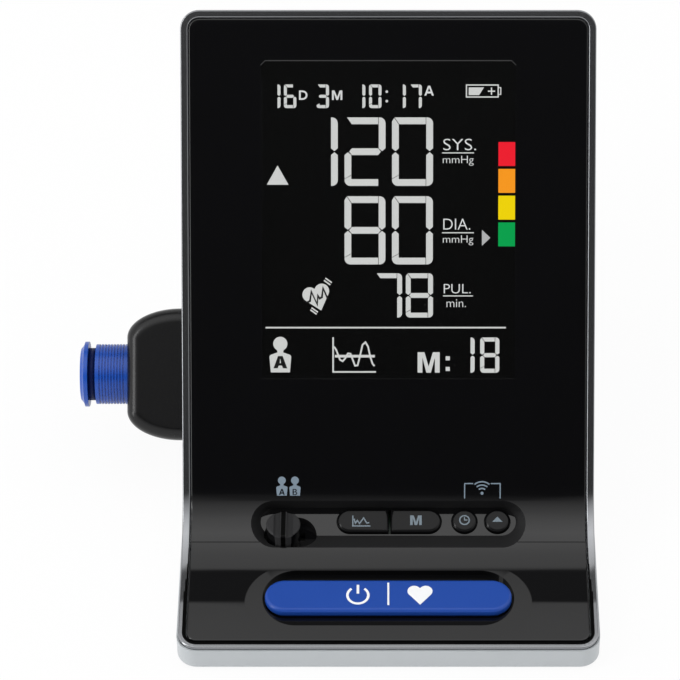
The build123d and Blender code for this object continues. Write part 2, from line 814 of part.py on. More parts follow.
with BuildPart() as backlight:
    with BuildSketch(display_level(light_front)):
        with Locations((0, contact_ledge / 2)):
            Rectangle(glass_width, glass_height - contact_ledge)
    extrude(amount=-light_thickness)
backlight.part.label = "backlight"
export_step(backlight.part, "parts/backlight.step")

# frame that presses glass and light against the panel, with ears, and posts for the main board
with BuildPart() as lcd_holder:
    with BuildSketch(display_level(window_back + fit_gap)):
        Rectangle(glass_width + 2 * holder_wall, glass_height + 2 * holder_wall)
        Rectangle(glass_width + 2 * fit_gap, glass_height + 2 * fit_gap, mode=Mode.SUBTRACT)
    extrude(amount=-(holder_back - window_back - fit_gap))
    with BuildSketch(display_level(light_back)):
        Rectangle(glass_width + 2 * holder_wall, glass_height + 2 * holder_wall)
        with Locations((0, contact_ledge)):
            Rectangle(glass_width - 4 * holder_wall, glass_height - 4 * holder_wall, mode=Mode.SUBTRACT)
        with Locations((0, -glass_height / 2 + contact_ledge / 2)):
            Rectangle(glass_width + 2 * fit_gap, contact_ledge, mode=Mode.SUBTRACT)
    extrude(amount=-holder_lip)
    with BuildSketch(display_level(light_back)):
        with Locations(*ear_spots):
            Rectangle(2 * ear_size, ear_size)
        Rectangle(glass_width + 2 * fit_gap, glass_height + 2 * fit_gap, mode=Mode.SUBTRACT)
        with Locations(*ear_spots):
            Circle(screw_diameter / 2 + fit_gap, mode=Mode.SUBTRACT)
    extrude(amount=-holder_lip)
    with BuildSketch(display_level(light_back)):
        with Locations(*board_posts):
            Circle(post_diameter / 2)
    extrude(amount=-(board_front - light_back))
    with BuildSketch(display_level(board_front)):
        with Locations(*board_posts):
            Circle(screw_diameter / 2)
    extrude(amount=main_board_gap, mode=Mode.SUBTRACT)
lcd_holder.part.label = "lcd_holder"
export_step(lcd_holder.part, "parts/lcd_holder.step")

with BuildPart() as main_board:
    with BuildSketch(display_level(board_front)):
        with Locations((0, board_shift)):
            Rectangle(main_board_width, main_board_height)
        with Locations(*board_posts):
            Circle(screw_diameter / 2 + fit_gap, mode=Mode.SUBTRACT)
    extrude(amount=-main_board_thickness)
main_board.part.label = "main_board"
export_step(main_board.part, "parts/main_board.step")

# conductive rubber strip from the glass's bare ledge to the board
with BuildPart() as contact_strip:
    with BuildSketch(display_level(light_front)):
        with Locations((0, -glass_height / 2 + contact_ledge / 2)):
            Rectangle(glass_width - 2 * ear_size, contact_ledge - 1)
    extrude(amount=-(board_front - light_front))
contact_strip.part.label = "contact_strip"
export_step(contact_strip.part, "parts/contact_strip.step")

chip_sizes = [(0, 10, 10, 10), (-18, 16, 7, 7), (16, 28, 6, 5), (-14, 34, 5, 4), (14, -8, 5, 4)]
chip_height = 1.2
with BuildPart() as board_chips:
    with BuildSketch(display_level(board_back)):
        for x, y, chip_width, chip_length in chip_sizes:
            with Locations((x, y)):
                Rectangle(chip_width, chip_length)
    extrude(amount=-chip_height)
board_chips.part.label = "board_chips"
export_step(board_chips.part, "parts/board_chips.step")

radio_size = (12.0, 16.0, 2.0)
radio_drop = 11.6             # from the display's upper end to the radio's middle
radio_y = display_length - window_centre - radio_drop
with BuildPart() as radio_module:
    with BuildSketch(display_level(board_back)):
        with Locations((main_board_width / 2 - radio_size[0], radio_y)):
            Rectangle(radio_size[0], radio_size[1])
    extrude(amount=-radio_size[2])
radio_module.part.label = "radio_module"
export_step(radio_module.part, "parts/radio_module.step")

buzzer_diameter = 12.0
buzzer_height = 4.5
buzzer_x = buzzer_diameter - main_board_width / 2
buzzer_y = -2.0
with BuildPart() as buzzer:
    with BuildSketch(display_level(board_back)):
        with Locations((buzzer_x, buzzer_y)):
            Circle(buzzer_diameter / 2)
    extrude(amount=-buzzer_height)
    with BuildSketch(display_level(board_back + buzzer_height)):
        with Locations((buzzer_x, buzzer_y)):
            Circle(1)
    extrude(amount=chip_height, mode=Mode.SUBTRACT)
buzzer.part.label = "buzzer"
export_step(buzzer.part, "parts/buzzer.step")

# ---------------------------------------------------------------- battery bay

cell_height = cavity_floor + door_gap + cell_diameter / 2
bay_roof = cell_height + cell_diameter / 2 + door_gap
tray_top = bay_roof + bay_wall
cell_rows = [cell_pitch * (index - (cell_count - 1) / 2) for index in range(cell_count)]
nub_length = 1.0
cell_rear = bay_rear - contact_thickness
cell_front = cell_rear - cell_length
latch_width = 3.6
latch_height = 2.4
grip_length = 18.0
hook_width = 6.0
hook_reach = 1.4
hook_height = 1.2
hook_x = bay_width / 4

with BuildPart() as battery_tray:
    with BuildSketch(level(cavity_floor, bay_centre)):
        Rectangle(bay_width + 2 * bay_wall, bay_length + 2 * bay_wall)
    extrude(amount=tray_top - cavity_floor)
    with BuildSketch(level(cavity_floor, bay_centre)):
        Rectangle(bay_width, bay_length)
    extrude(amount=bay_roof - cavity_floor, mode=Mode.SUBTRACT)
    with BuildSketch(level(cavity_floor, bay_front)):
        with Locations((-hook_x, 0), (hook_x, 0)):
            Rectangle(hook_width + 1, 4 * bay_wall)
    extrude(amount=3 * hook_height, mode=Mode.SUBTRACT)
battery_tray.part.label = "battery_tray"
export_step(battery_tray.part, "parts/battery_tray.step")

with BuildPart() as battery_door:
    with BuildSketch(level(foot_gap, bay_centre)):
        Rectangle(bay_width - 2 * door_gap, bay_length - 2 * door_gap)
    extrude(amount=door_thickness)
    # shallow finger grip, two hooks at the front edge and a spring latch at the rear
    with BuildSketch(level(foot_gap, bay_rear - 9)):
        SlotOverall(grip_length, grip_length / 3)
    extrude(amount=door_thickness / 3, mode=Mode.SUBTRACT)
    with BuildSketch(level(foot_gap + door_thickness, bay_front + door_gap + hook_reach / 2)):
        with Locations((-hook_x, 0), (hook_x, 0)):
            Rectangle(hook_width, hook_reach)
    extrude(amount=hook_height + door_gap)
    with BuildSketch(level(foot_gap + door_thickness + door_gap, bay_front + door_gap)):
        with Locations((-hook_x, 0), (hook_x, 0)):
            Rectangle(hook_width, 2 * hook_reach)
    extrude(amount=hook_height)
    with BuildSketch(level(foot_gap + door_thickness, bay_rear - 2 * door_gap - bay_wall / 2)):
        Rectangle(latch_width, bay_wall / 2)
    extrude(amount=latch_height)
battery_door.part.label = "battery_door"
export_step(battery_door.part, "parts/battery_door.step")

# four cells side by side, every second one turned round
with BuildPart() as battery_cells:
    for index, x in enumerate(cell_rows):
        turned = index % 2 == 1
        can_start = cell_front + nub_length if turned else cell_front
        nub_start = cell_front if turned else cell_rear - nub_length
        for start, length, diameter in ((can_start, cell_length - nub_length, cell_diameter),
                                        (nub_start, nub_length, cell_diameter / 3)):
            with BuildSketch(Plane.XZ.offset(-(front_y + start))):
                with Locations((body_x + x, cell_height)):
                    Circle(diameter / 2)
            extrude(amount=-length)
battery_cells.part.label = "battery_cells"
export_step(battery_cells.part, "parts/battery_cells.step")

# contact plates at the rear, each joining two neighbours
with BuildPart() as plate_contacts:
    for pair in (cell_rows[0:2], cell_rows[2:4]):
        with BuildSketch(Plane.XZ.offset(-(front_y + bay_rear))):
            with Locations((body_x + sum(pair) / 2, cell_height)):
                Rectangle(cell_pitch + cell_diameter / 2, cell_diameter / 2)
        extrude(amount=contact_thickness)
plate_contacts.part.label = "plate_contacts"
export_step(plate_contacts.part, "parts/plate_contacts.step")

# leaf contacts at the front: a foot on the tray's wall and a tongue that leans on the cell
leaf_width = 8.0
with BuildPart() as leaf_contacts:
    for x in cell_rows:
        with BuildSketch(side.offset(x - leaf_width / 2)):
            with BuildLine():
                FilletPolyline((bay_front + contact_thickness / 2, cell_height + cell_diameter / 3),
                               (bay_front + contact_thickness / 2, cell_height - cell_diameter / 3),
                               (cell_front - contact_thickness, cell_height),
                               (cell_front - 2 * contact_thickness, cell_height + cell_diameter / 4),
                               radius=2 * contact_thickness)
            trace(line_width=contact_thickness)
        extrude(amount=leaf_width)
leaf_contacts.part.label = "leaf_contacts"
export_step(leaf_contacts.part, "parts/leaf_contacts.step")

# ---------------------------------------------------------------- pump

pump_height = tray_top + cradle_floor + motor_diameter / 2
motor_right = motor_left + motor_length
head_left = motor_left - head_length
chamber_radius = eccentric_diameter / 2 + eccentric_offset + 0.5
chamber_depth = 10.0
chamber_left = motor_left - chamber_depth
diaphragm_thickness = 1.0
shaft_left = chamber_left + diaphragm_thickness + 0.2
shaft_right = motor_right - can_thickness - 0.3
eccentric_length = 4.0

with BuildPart() as pump_motor:
    with BuildSketch(across(motor_left, pump_distance, pump_height)):
        Circle(motor_diameter / 2)
    extrude(amount=-motor_length)
    with BuildSketch(across(motor_left + can_thickness, pump_distance, pump_height)):
        Circle(motor_diameter / 2 - can_thickness)
    extrude(amount=-(motor_length - 2 * can_thickness), mode=Mode.SUBTRACT)
    with BuildSketch(across(motor_left, pump_distance, pump_height)):
        Circle(shaft_diameter / 2 + shaft_gap)
    extrude(amount=-2 * can_thickness, mode=Mode.SUBTRACT)
pump_motor.part.label = "pump_motor"
export_step(pump_motor.part, "parts/pump_motor.step")

# armature, shaft and eccentric, which turn together
with BuildPart() as pump_rotor:
    with BuildSketch(across(motor_left + 4 * can_thickness, pump_distance, pump_height)):
        Circle(rotor_diameter / 2)
    extrude(amount=-(motor_length - 8 * can_thickness))
    with BuildSketch(across(shaft_left, pump_distance, pump_height)):
        Circle(shaft_diameter / 2)
    extrude(amount=-(shaft_right - shaft_left))
    with BuildSketch(across(shaft_left + 0.5, pump_distance, pump_height)):
        with Locations((0, eccentric_offset)):
            Circle(eccentric_diameter / 2)
    extrude(amount=-eccentric_length)
pump_rotor.part.label = "pump_rotor"
export_step(pump_rotor.part, "parts/pump_rotor.step")

outlet_height = coupling_height
barb_length = 5.0
with BuildPart() as pump_head:
    with BuildSketch(across(motor_left, pump_distance, pump_height)):
        RectangleRounded(motor_diameter - 2, motor_diameter - 2, corner_radius)
    extrude(amount=head_length)
    with BuildSketch(across(motor_left, pump_distance, pump_height)):
        Circle(chamber_radius)
    extrude(amount=chamber_depth, mode=Mode.SUBTRACT)
    with BuildSketch(across(head_left, pump_distance, outlet_height)):
        Circle(barb_diameter / 2)
    extrude(amount=barb_length)
    with BuildSketch(across(head_left - barb_length, pump_distance, outlet_height)):
        Circle(air_bore_diameter / 2)
    extrude(amount=-(barb_length + head_length - chamber_depth), mode=Mode.SUBTRACT)
pump_head.part.label = "pump_head"
export_step(pump_head.part, "parts/pump_head.step")

with BuildPart() as pump_diaphragm:
    with BuildSketch(across(chamber_left + diaphragm_thickness, pump_distance, pump_height)):
        Circle(chamber_radius)
    extrude(amount=diaphragm_thickness)
pump_diaphragm.part.label = "pump_diaphragm"
export_step(pump_diaphragm.part, "parts/pump_diaphragm.step")

# rubber cradle that holds the motor on the battery tray's roof
cradle_inset = 3.0
with BuildPart() as pump_cradle:
    with BuildSketch(side.offset(motor_left + cradle_inset)):
        with Locations((pump_distance, (tray_top + pump_height) / 2)):
            Rectangle(motor_diameter + 2 * cradle_wall, pump_height - tray_top)
        with Locations((pump_distance, pump_height)):
            Circle(motor_diameter / 2, mode=Mode.SUBTRACT)
    extrude(amount=motor_length - 2 * cradle_inset)
pump_cradle.part.label = "pump_cradle"
export_step(pump_cradle.part, "parts/pump_cradle.step")

# ---------------------------------------------------------------- valve, manifold and tubes

port_barb_left = -half + 4 * wall + nut_thickness + 1.5
port_tube_run = 11.0
manifold_left = port_barb_left + port_tube_run
manifold_width = 11.0
manifold_depth = 10.0
manifold_top = coupling_height + 3.1
manifold_distance = coupling_distance
manifold_x = manifold_left + manifold_width / 2
manifold_right = manifold_left + manifold_width
manifold_rear = manifold_distance + manifold_depth / 2
valve_height = tray_top + valve_width / 2 + 0.7
valve_wall = 1.0
sensor_height = 2.2
sensor_margin = 1.5

with BuildPart() as air_manifold:
    with BuildSketch(level(tray_top, manifold_distance, manifold_x)):
        Rectangle(manifold_width, manifold_depth)
    extrude(amount=manifold_top - tray_top)
    with BuildSketch(across(manifold_left, manifold_distance, coupling_height)):
        Circle(barb_diameter / 2)
    extrude(amount=barb_length)
    with BuildSketch(Plane.XZ.offset(-(front_y + manifold_rear))):
        with Locations((body_x + manifold_x, coupling_height)):
            Circle(barb_diameter / 2)
    extrude(amount=-barb_length)
    # air ways: from the side, from the rear, up to the sensor and across to the valve
    with BuildSketch(across(manifold_left - barb_length, manifold_distance, coupling_height)):
        Circle(air_bore_diameter / 2)
    extrude(amount=-(barb_length + manifold_width / 2), mode=Mode.SUBTRACT)
    with BuildSketch(Plane.XZ.offset(-(front_y + manifold_rear + barb_length))):
        with Locations((body_x + manifold_x, coupling_height)):
            Circle(air_bore_diameter / 2)
    extrude(amount=barb_length + manifold_depth / 2, mode=Mode.SUBTRACT)
    with BuildSketch(level(manifold_top, manifold_distance, manifold_x)):
        Circle(air_bore_diameter / 4)
    extrude(amount=-(manifold_top - valve_height), mode=Mode.SUBTRACT)
    with BuildSketch(across(manifold_right, manifold_distance, valve_height)):
        Circle(air_bore_diameter / 4)
    extrude(amount=manifold_width / 2, mode=Mode.SUBTRACT)
air_manifold.part.label = "air_manifold"
export_step(air_manifold.part, "parts/air_manifold.step")

with BuildPart() as pressure_sensor:
    with BuildSketch(level(manifold_top, manifold_distance, manifold_x)):
        Rectangle(manifold_width - 2 * sensor_margin, manifold_depth - 2 * sensor_margin)
    extrude(amount=sensor_height)
pressure_sensor.part.label = "pressure_sensor"
export_step(pressure_sensor.part, "parts/pressure_sensor.step")

# exhaust valve: a square solenoid with a sliding plunger that opens the manifold's side port
plunger_length = valve_length - 2 * valve_wall - 2 * plunger_travel - 0.4
with BuildPart() as exhaust_valve:
    with BuildSketch(across(manifold_right, manifold_distance, valve_height)):
        Rectangle(valve_width, valve_width)
    extrude(amount=-valve_length)
    with BuildSketch(across(manifold_right + valve_wall, manifold_distance, valve_height)):
        Circle(plunger_diameter / 2 + shaft_gap)
    extrude(amount=-(valve_length - 2 * valve_wall), mode=Mode.SUBTRACT)
    with BuildSketch(across(manifold_right, manifold_distance, valve_height)):
        Circle(air_bore_diameter / 4)
    extrude(amount=-2 * valve_wall, mode=Mode.SUBTRACT)
exhaust_valve.part.label = "exhaust_valve"
export_step(exhaust_valve.part, "parts/exhaust_valve.step")

with BuildPart() as valve_plunger:
    with BuildSketch(across(manifold_right + valve_wall + 0.2, manifold_distance, valve_height)):
        Circle(plunger_diameter / 2)
    extrude(amount=-plunger_length)
valve_plunger.part.label = "valve_plunger"
export_step(valve_plunger.part, "parts/valve_plunger.step")

tube_bend = 9.0
tube_bore_radius = barb_diameter / 2 + 0.01


def tube(*route):
    """Air tube along straight runs joined by an arc, pushed over a barb at each end."""
    with BuildPart() as hose:
        with BuildLine() as path:
            if len(route) > 2:
                FilletPolyline(*route, radius=tube_bend)
            else:
                Line(*route)
        with BuildSketch(Plane(origin=path.line @ 0, z_dir=path.line % 0)):
            Circle(tube_diameter / 2 + 0.9)
            Circle(tube_bore_radius, mode=Mode.SUBTRACT)
        sweep()
    return hose.part


def spot(x, distance, height):
    return (body_x + x, front_y + distance, height)


with BuildPart() as pump_tube:
    add(tube(spot(head_left - tube_seat, pump_distance, coupling_height),
             spot(manifold_x, pump_distance, coupling_height),
             spot(manifold_x, manifold_rear + tube_seat, coupling_height)))
pump_tube.part.label = "pump_tube"
export_step(pump_tube.part, "parts/pump_tube.step")

with BuildPart() as port_tube:
    add(tube(spot(port_barb_left, coupling_distance, coupling_height),
             spot(manifold_left - tube_seat, coupling_distance, coupling_height)))
port_tube.part.label = "port_tube"
export_step(port_tube.part, "parts/port_tube.step")

# ---------------------------------------------------------------- air coupling

# half-section plane: local X is the reach to the left of the mid-plane, local Y the radius
reach = Plane(origin=spot(0, coupling_distance, coupling_height), x_dir=(-1, 0, 0), z_dir=(0, 1, 0))
reach_axis = Axis(reach.origin, reach.x_dir)
pod_end = half + pod_reach
pod_thickness = spigot_diameter + pod_wall
shank_radius = shank_diameter / 2
spigot_end = half - 2 * wall
spigot_bore = spigot_diameter / 2 - pod_wall / 2

# outline of the pod, on a plane that leans back through the coupling's axis
pod_half = pod_height / 2
pod_normal = (0, -sind(pod_slope), cosd(pod_slope))
pod_plane = Plane(origin=reach.origin, x_dir=(-1, 0, 0), z_dir=pod_normal)

with BuildPart() as socket_housing:
    with BuildSketch(pod_plane):
        with BuildLine():
            Polyline((pod_end, pod_round_radius - pod_half), (pod_end, pod_half - pod_round_radius))
            EllipticalCenterArc((pod_end - pod_round_reach, pod_half - pod_round_radius),
                                pod_round_reach, pod_round_radius, start_angle=0, arc_size=90)
            Polyline((pod_end - pod_round_reach, pod_half), (half, pod_half), (half, -pod_half),
                     (pod_end - pod_round_reach, -pod_half))
            EllipticalCenterArc((pod_end - pod_round_reach, pod_round_radius - pod_half),
                                pod_round_reach, pod_round_radius, start_angle=270, arc_size=90)
        make_face()
    extrude(amount=pod_thickness / 2, both=True)
    for end, edge_radius in ((-1, pod_edge_radius), (0, pod_back_radius)):
        flat = socket_housing.faces().sort_by(Axis(reach.origin, pod_normal))[end]
        rounded = [edge for edge in flat.edges() if edge.center().X < body_x - half - fit_gap]
        fillet(rounded, edge_radius)
    # spigot through the housing's wall, and the room inside for the coupling
    with BuildSketch(reach):
        with BuildLine():
            Polyline((spigot_end, 0), (spigot_end, spigot_diameter / 2), (half, spigot_diameter / 2),
                     (half, 0), (spigot_end, 0))
        make_face()
    revolve(axis=reach_axis)
    with BuildSketch(reach):
        with BuildLine():
            Polyline((spigot_end, 0), (spigot_end, spigot_bore), (pod_end - pod_wall, spigot_bore),
                     (pod_end - pod_wall, shank_radius + shaft_gap), (pod_end, shank_radius + shaft_gap),
                     (pod_end, 0), (spigot_end, 0))
        make_face()
    revolve(axis=reach_axis, mode=Mode.SUBTRACT)
socket_housing.part.label = "socket_housing"
export_step(socket_housing.part, "parts/socket_housing.step")

head_end = pod_end + coupling_length
mouth_floor = head_end - mouth_depth
nut_start = spigot_end - nut_thickness
shank_start = nut_start - shank_show
bore_floor = pod_end - collar_bore_depth
port_start = -port_barb_left - tube_seat
rib_pitch = (coupling_length - 2 * rib_margin) / rib_count

with BuildPart() as coupling_body:
    with BuildSketch(reach):
        with BuildLine():
            Polyline((head_end, mouth_diameter / 2), (head_end, coupling_diameter / 2),
                     (pod_end, coupling_diameter / 2), (pod_end, shank_radius), (shank_start, shank_radius),
                     (shank_start, barb_diameter / 2), (port_start - barb_length, barb_diameter / 2),
                     (port_start - barb_length, air_bore_diameter / 2), (bore_floor, air_bore_diameter / 2),
                     (bore_floor, collar_bore_diameter / 2), (mouth_floor, collar_bore_diameter / 2),
                     (mouth_floor, mouth_diameter / 2), (head_end, mouth_diameter / 2))
        make_face()
    revolve(axis=reach_axis)
    # fine grip ribs: grooves round the head
    with BuildSketch(reach):
        for index in range(rib_count):
            with Locations((head_end - rib_margin - (index + 0.5) * rib_pitch, coupling_diameter / 2)):
                Rectangle(rib_pitch - rib_width, 2 * rib_depth)
    revolve(axis=reach_axis, mode=Mode.SUBTRACT)
coupling_body.part.label = "coupling_body"
export_step(coupling_body.part, "parts/coupling_body.step")

# push-to-release collar: flange, neck and sleeve with the bore that takes the hose's plug
neck_start = mouth_floor + collar_travel + 0.15
sleeve_start = neck_start - collar_sleeve_length
collar_shoulder = head_end + neck_show
with BuildPart() as release_collar:
    with BuildSketch(reach):
        with BuildLine():
            Polyline((sleeve_start, port_diameter / 2), (sleeve_start, collar_sleeve_diameter / 2),
                     (neck_start, collar_sleeve_diameter / 2), (neck_start, neck_diameter / 2),
                     (collar_shoulder, neck_diameter / 2), (collar_shoulder, collar_flange_diameter / 2))
            Line((collar_shoulder, collar_flange_diameter / 2),
                 (coupling_end - collar_flange_thickness / 2, collar_flange_diameter / 2))
            RadiusArc((coupling_end - collar_flange_thickness / 2, collar_flange_diameter / 2),
                      (coupling_end, neck_diameter / 2), -1.6 * collar_flange_thickness)
            Polyline((coupling_end, neck_diameter / 2), (coupling_end, port_diameter / 2),
                     (sleeve_start, port_diameter / 2))
        make_face()
    revolve(axis=reach_axis)
release_collar.part.label = "release_collar"
export_step(release_collar.part, "parts/release_collar.step")

seal_thickness = 1.4
with BuildPart() as seal_ring:
    with BuildSketch(reach):
        with Locations((bore_floor + seal_thickness / 2 + shaft_gap,
                        collar_bore_diameter / 2 - seal_thickness / 2 - shaft_gap)):
            Circle(seal_thickness / 2)
    revolve(axis=reach_axis)
seal_ring.part.label = "seal_ring"
export_step(seal_ring.part, "parts/seal_ring.step")

# return spring between the seal and the collar's sleeve
spring_wire = 0.5
spring_turns = 4
spring_start = bore_floor + seal_thickness + 2 * shaft_gap + spring_wire / 2
spring_length = sleeve_start - shaft_gap - spring_wire / 2 - spring_start
with BuildPart() as collar_spring:
    with BuildLine() as coil:
        Helix(pitch=spring_length / spring_turns, height=spring_length,
              radius=collar_sleeve_diameter / 2 - spring_wire / 2 - shaft_gap,
              center=spot(-spring_start, coupling_distance, coupling_height), direction=(-1, 0, 0))
    with BuildSketch(Plane(origin=coil.line @ 0, z_dir=coil.line % 0)):
        Circle(spring_wire / 2)
    sweep(is_frenet=True)
collar_spring.part.label = "collar_spring"
export_step(collar_spring.part, "parts/collar_spring.step")

with BuildPart() as coupling_nut:
    with BuildSketch(across(-nut_start, coupling_distance, coupling_height)):
        RegularPolygon(nut_width / 2, 6, major_radius=False)
        Circle(shank_radius + shaft_gap, mode=Mode.SUBTRACT)
    extrude(amount=nut_thickness)
coupling_nut.part.label = "coupling_nut"
export_step(coupling_nut.part, "parts/coupling_nut.step")

# ---------------------------------------------------------------- feet, screws and the flat cable

with BuildPart() as rubber_feet:
    with BuildSketch(level(0)):
        with Locations(*pad_spots):
            Circle(pad_diameter / 2)
    extrude(amount=foot_gap + pad_recess)
    fillet(rubber_feet.edges().group_by(Axis.Z)[0], foot_gap / 3)
rubber_feet.part.label = "rubber_feet"
export_step(rubber_feet.part, "parts/rubber_feet.step")

head_seat = parting_height - 2 * wall
with BuildPart() as housing_screws:
    with BuildSketch(level(head_seat)):
        with Locations(*screw_spots):
            Circle(housing_head_diameter / 2)
    extrude(amount=-housing_head_height)
    with BuildSketch(level(head_seat - housing_head_height)):
        with Locations(*screw_spots):
            Rectangle(housing_head_diameter * 0.6, 0.7)
            Rectangle(0.7, housing_head_diameter * 0.6)
    extrude(amount=housing_head_height / 2, mode=Mode.SUBTRACT)
    with BuildSketch(level(head_seat)):
        with Locations(*screw_spots):
            Circle(housing_screw_diameter / 2 - shaft_gap)
    extrude(amount=parting_height)
housing_screws.part.label = "housing_screws"
export_step(housing_screws.part, "parts/housing_screws.step")


def board_screws(place, spots, length):
    """Small pan-head screws, heads seated on the plane, shanks going down from it."""
    with BuildPart() as group:
        with BuildSketch(place):
            with Locations(*spots):
                Circle(screw_head_diameter / 2)
        extrude(amount=screw_head_height)
        with BuildSketch(place):
            with Locations(*spots):
                Circle(screw_diameter / 2 - shaft_gap)
        extrude(amount=-length)
    return group.part


with BuildPart() as key_board_screws:
    add(board_screws(trough_level(key_board_level), key_posts, small_board + wall / 2))
    add(board_screws(bar_level(bar_board_level), bar_posts, small_board + wall / 2))
key_board_screws.part.label = "key_board_screws"
export_step(key_board_screws.part, "parts/key_board_screws.step")

rear_display = display_level(board_back)
rear_facing = Plane(origin=rear_display.origin, x_dir=rear_display.x_dir, z_dir=-rear_display.z_dir)
mirrored_posts = [(x, -y) for x, y in board_posts]
with BuildPart() as main_board_screws:
    add(board_screws(rear_facing, mirrored_posts, main_board_thickness + main_board_gap))
main_board_screws.part.label = "main_board_screws"
export_step(main_board_screws.part, "parts/main_board_screws.step")

ear_seat = display_level(holder_back)
ear_facing = Plane(origin=ear_seat.origin, x_dir=ear_seat.x_dir, z_dir=-ear_seat.z_dir)
with BuildPart() as lcd_holder_screws:
    add(board_screws(ear_facing, ear_spots, holder_lip + ear_screw_depth - fit_gap))
lcd_holder_screws.part.label = "lcd_holder_screws"
export_step(lcd_holder_screws.part, "parts/lcd_holder_screws.step")
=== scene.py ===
import math

import bmesh
import bpy
from mathutils import Matrix, Vector
from mathutils.bvhtree import BVHTree


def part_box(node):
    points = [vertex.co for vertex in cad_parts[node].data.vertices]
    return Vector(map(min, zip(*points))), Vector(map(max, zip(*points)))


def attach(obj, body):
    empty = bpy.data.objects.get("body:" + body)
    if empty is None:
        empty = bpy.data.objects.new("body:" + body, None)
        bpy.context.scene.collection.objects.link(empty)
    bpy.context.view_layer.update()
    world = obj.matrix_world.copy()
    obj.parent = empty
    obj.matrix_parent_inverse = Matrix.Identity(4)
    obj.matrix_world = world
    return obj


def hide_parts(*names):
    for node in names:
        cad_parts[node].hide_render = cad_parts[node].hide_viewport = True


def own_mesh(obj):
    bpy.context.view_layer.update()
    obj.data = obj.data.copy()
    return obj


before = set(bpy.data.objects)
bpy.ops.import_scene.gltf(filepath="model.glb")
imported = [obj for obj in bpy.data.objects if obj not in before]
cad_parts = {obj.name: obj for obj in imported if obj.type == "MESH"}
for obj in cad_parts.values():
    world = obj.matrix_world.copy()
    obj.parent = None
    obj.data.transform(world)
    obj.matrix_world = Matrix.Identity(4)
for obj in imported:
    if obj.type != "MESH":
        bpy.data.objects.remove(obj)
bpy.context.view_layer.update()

# ---------------------------------------------------------------- bottom shell
# The pale silver tray that everything stands on: injection-moulded ABS with a fine silver coat, satin,
# with a faint flake in it. Floor, skirt and screw posts are one moulding, screwed to the rear housing.

MM = 0.001


def linear(colour):
    """sRGB hex colour as the linear values that a shader takes."""
    channels = [int(colour[i:i + 2], 16) / 255 for i in (1, 3, 5)]
    return [c / 12.92 if c <= 0.04045 else ((c + 0.055) / 1.055) ** 2.4 for c in channels] + [1.0]


def add_node(tree, kind, settings=None, inputs=None):
    """Adds a node, sets its settings, and fills its inputs with values or with other nodes' outputs."""
    made = tree.nodes.new(kind)
    for name, value in (settings or {}).items():
        setattr(made, name, value)
    for name, value in (inputs or {}).items():
        if isinstance(value, bpy.types.NodeSocket):
            tree.links.new(value, made.inputs[name])
        else:
            made.inputs[name].default_value = value
    return made


def finish(name, shader_inputs):
    """Material with a Principled shader, returned with its tree, shader and object coordinates."""
    material = bpy.data.materials.new(name)
    material.use_nodes = True
    tree = material.node_tree
    shader = tree.nodes["Principled BSDF"]
    for socket, value in shader_inputs.items():
        shader.inputs[socket].default_value = value
    place = add_node(tree, "ShaderNodeTexCoord").outputs["Object"]
    return material, tree, shader, place


def noise(tree, place, size, detail=2.0):
    """Noise with features about size metres wide."""
    made = add_node(tree, "ShaderNodeTexNoise", inputs={"Vector": place, "Scale": 1 / size, "Detail": detail})
    return made.outputs["Fac"]


def two_tone(tree, factor, first, second):
    """Colour that goes from first to second with factor."""
    made = add_node(tree, "ShaderNodeMix", {"data_type": "RGBA"}, {"Factor": factor, 6: first, 7: second})
    return made.outputs[2]


def uneven_gloss(tree, shader, pattern, roughness, spread):
    """Roughness that varies with a pattern by a share of itself."""
    gloss = add_node(tree, "ShaderNodeMapRange", inputs={
        "Value": pattern, "To Min": roughness * (1 - spread), "To Max": roughness * (1 + spread)})
    tree.links.new(gloss.outputs["Result"], shader.inputs["Roughness"])


def fine_relief(tree, shader, pattern, strength, depth):
    """Surface unevenness, at most depth metres deep, that follows a pattern."""
    bump = add_node(tree, "ShaderNodeBump", inputs={"Strength": strength, "Distance": depth, "Height": pattern})
    tree.links.new(bump.outputs["Normal"], shader.inputs["Normal"])


tone_drift = 25 * MM
grain_depth = 0.05 * MM


def moulding(name, dark, light, roughness, grain, relief, extra=None):
    """Moulded plastic: slow drift between two tones, uneven gloss, and a grain in millimetres."""
    material, tree, shader, place = finish(name, extra or {})
    tone = two_tone(tree, noise(tree, place, tone_drift, detail=3.0), linear(dark), linear(light))
    tree.links.new(tone, shader.inputs["Base Color"])
    pits = noise(tree, place, grain * MM)
    uneven_gloss(tree, shader, pits, roughness, spread=0.15)
    fine_relief(tree, shader, pits, relief, grain_depth)
    return material


def dress(material, *names):
    """Gives CAD nodes, whose shape is right as it is, their finish."""
    for name in names:
        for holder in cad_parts[name].material_slots:
            holder.material = material


merge_distance = 0.0005 * MM


def merged(name):
    """Copy of a CAD node's mesh in which the corners that lie on each other are one."""
    shape = bmesh.new()
    shape.from_mesh(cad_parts[name].data)
    bmesh.ops.remove_doubles(shape, verts=shape.verts, dist=merge_distance)
    return shape


def placed(name, shape, material):
    """Object in the scene made of a bmesh, which is freed, with one material."""
    data = bpy.data.meshes.new(name)
    shape.to_mesh(data)
    shape.free()
    data.materials.append(material)
    made = bpy.data.objects.new(name, data)
    bpy.context.scene.collection.objects.link(made)
    return made


def evaluated(holder):
    """New mesh of what an object's curve or modifiers give."""
    bpy.context.view_layer.update()
    return bpy.data.meshes.new_from_object(holder.evaluated_get(bpy.context.evaluated_depsgraph_get()))


